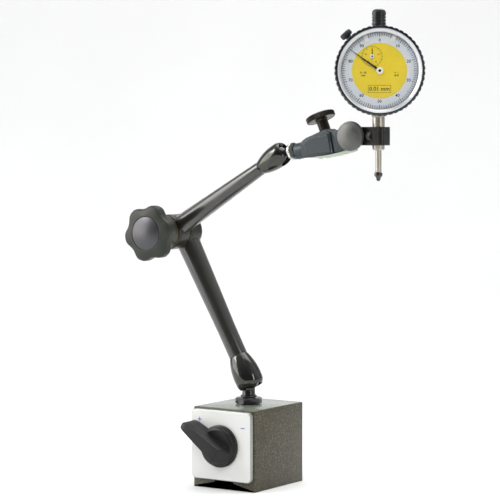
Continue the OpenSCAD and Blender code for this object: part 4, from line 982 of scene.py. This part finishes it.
words += [("0.01 mm", 0, -11.6, 2.7), ("0 - 10", -10.4, -1.2, 1.2), ("mm", -10.4, -3.0, 1.2),
    ("+  -", 10.8, -1.2, 1.3), ("Ø 8", 10.8, -3.0, 1.2)]
lettering("counter_numerals", words, centre_ink, "indicator")
frame_rows = [((x, -11.6), 0, 0.1, -2.35, 2.35) for x in (-7.2, 7.2)]
frame_rows += [((0, y), pi / 2, 0.1, -7.3, 7.3) for y in (-13.95, -9.25)]
bars("dial_unit_frame", frame_rows, centre_ink, "indicator")

# ---- hands


def pointer(name, length, half, tail, angle, level, at, node):
    """Tapered hand with a raised ridge and a tail. half: half width at the centre. angle: degrees."""
    rows = [(-tail, half * 0.75), (-tail * 0.55, half * 0.95), (0, half), (length * 0.45, half * 0.6),
        (length * 0.86, half * 0.28), (length, half * 0.10)]
    rings = [[(-w, y, level), (w, y, level), (w, y, level + 0.14), (w * 0.25, y, level + 0.3),
        (-w * 0.25, y, level + 0.3), (-w, y, level + 0.14)] for y, w in rows]
    return loft(name, rings, spun(at, angle), "hand", node, sharp=30)


def hub(name, radius, level, at, body):
    """White hub of a hand, with a dark dot in its middle."""
    turned(name, [(0, level - 0.05), (radius, level - 0.05, 0.05), (radius, level + 0.42, 0.12),
        (radius * 0.9, level + 0.5, 0.1), (radius * 0.46, level + 0.5), (0, level + 0.5)], at, "enamel",
        body=body, seg=64)
    turned(name + "_dot", [(0, level + 0.4), (radius * 0.42, level + 0.4), (radius * 0.4, level + 0.56, 0.05),
        (0, level + 0.6)], at, "hand", body=body, seg=40)


pointer("main_hand_blade", 23, 0.85, 1.5, 54.6, 10, DIAL, "main_hand")
hub("main_hand_hub", 2.3, 10, DIAL, "pointer")
pointer("small_hand_blade", 6.2, 0.45, 1.9, 0, 8.7, SMALL, "small_hand")
hub("small_hand_hub", 1.4, 8.7, SMALL, "counter")
tab_angle = 23
for side, node in ((1, "limit_hand_left"), (-1, "limit_hand_right")):
    plate(node + "_tab", [(-1.2, 20.4, 0.25), (1.2, 20.4, 0.25), (1.2, 25.4, 0.1), (-1.2, 25.4, 0.1)], 9.3,
        9.72, 0.08, spun(DIAL, tab_angle * side), "enamel", node)

# ---- CAD pieces that stay

CAD_LOOK = {"rotor_shaft": "steel", "magnet_rotor": "magnet", "lower_seat": "bronze", "upper_seat": "bronze",
    "lower_push_rod": "steel", "upper_push_rod": "steel", "elbow_wedge": "steel", "fine_screw_tip": "bronze",
    "movement_plate": "brass", "movement_bridge": "brass", "drive_wheel": "brass", "centre_pinion": "steel",
    "return_spring": "wire", "rack": "stem", "guide_arm": "stem"}
for node, look in CAD_LOOK.items():
    obj = frame["nodes"][node]
    obj.data.materials.clear()
    obj.data.materials.append(MAT[look])
    if node not in ("return_spring", "drive_wheel", "centre_pinion"):
        soften(obj, 0.12, 40, dissolve=True)

# ---- stage, light and camera


def floor():
    """Pale ground in metres that curves up behind the object and can be looked through from behind."""
    flat_end, bend, half_width, facing = 0.9, 0.6, 4, 33.9
    path = [(-2.5, 0.0)] + arc(flat_end, bend, bend, -90, 0, 12) + [(flat_end + bend, 3.0)]
    verts = [(x, y, z) for y, z in path for x in (-half_width, half_width)]
    faces = [(2 * i, 2 * i + 1, 2 * i + 3, 2 * i + 2) for i in range(len(path) - 1)]
    mesh = bpy.data.meshes.new("floor")
    mesh.from_pydata([spun(BASE, facing) @ Vector(v) for v in verts], [], faces)
    mesh.shade_smooth()
    s = Shader("floor_paper")
    tone_map = s.ramp(s.noise(0.004, 2), (0.3, (0.86, 0.86, 0.855)), (0.7, (0.9, 0.9, 0.895)))
    s.set(Base_Color=tone_map, Roughness=0.75, Specular_IOR_Level=0.2, Normal=s.bump(s.noise(1.5), 0.01))
    from_behind = s.node("ShaderNodeNewGeometry").outputs["Backfacing"]
    clear = s.node("ShaderNodeBsdfTransparent").outputs[0]
    one_sided = s.node("ShaderNodeMixShader", Fac=from_behind, _1=s.bsdf.outputs[0], _2=clear)
    s.feed(s.tree.nodes["Material Output"], "Surface", one_sided.outputs[0])
    mesh.materials.append(s.mat)
    link("floor", mesh)


floor()
world = bpy.data.worlds.new("studio")
bpy.context.scene.world = world
world.use_nodes = True
sky = Nodes(world.node_tree)
# the room is dark behind the camera and bright elsewhere, and a plain white where the camera sees it directly
toward = sky.node("ShaderNodeTexCoord").outputs["Generated"]
behind_camera = sky.node("ShaderNodeVectorMath", {"operation": "DOT_PRODUCT"}, _0=toward,
    _1=(0.56, -0.83, -0.35))
shade_map = sky.node("ShaderNodeMapRange", Value=behind_camera.outputs["Value"], From_Min=-0.35,
    From_Max=0.75, To_Min=0.95, To_Max=0.14)
camera_ray = sky.node("ShaderNodeLightPath").outputs["Is Camera Ray"]
seen = sky.node("ShaderNodeMapRange", Value=camera_ray, To_Min=shade_map.outputs[0], To_Max=0.9)
background = sky.tree.nodes["Background"]
sky.feed(background, "_0", (0.95, 0.97, 1.0, 1))
sky.feed(background, "_1", seen.outputs[0])


def panel_light(name, where, aim, size, watts, tint=(1, 1, 1), diffuse=True, glossy=True):
    light = bpy.data.lights.new(name, "AREA")
    light.shape, (light.size, light.size_y) = "RECTANGLE", size
    light.energy, light.color = watts, tint
    obj = link(name, light)
    obj.location = where
    obj.rotation_euler = (Vector(aim) - Vector(where)).to_track_quat("-Z", "Y").to_euler()
    obj.visible_diffuse, obj.visible_glossy = diffuse, glossy


centre = (Vector(cad_box[0]) + Vector(cad_box[1])) / 2
panel_light("key", (-0.9, -0.9, 1.0), centre, (0.5, 0.6), 9)
panel_light("front", (0.55, -1.45, 1.05), centre, (0.8, 0.6), 14, glossy=False)
panel_light("strip", (-1.18, -0.87, 0.3), centre, (1.1, 1.5), 20, (1.0, 0.95, 0.92), diffuse=False)
panel_light("fill", (1.35, -0.35, 0.5), centre, (0.2, 0.9), 4, (1.0, 0.94, 0.85))
panel_light("top", (0.1, 0.3, 1.4), centre, (1.2, 1.2), 13)

camera = bpy.data.cameras.new("camera")
cam = link("camera", camera)
eye = Vector((0.7918, -1.1782, 0.2412))
aim = Vector((0.0155, -0.0215, 0.162))
cam.location = eye
cam.rotation_euler = (aim - eye).to_track_quat("-Z", "Y").to_euler()
camera.sensor_width, camera.lens = 36, 150
camera.clip_start, camera.clip_end = 0.05, 20
bpy.context.scene.camera = cam
bpy.context.scene.view_settings.view_transform = "Standard"
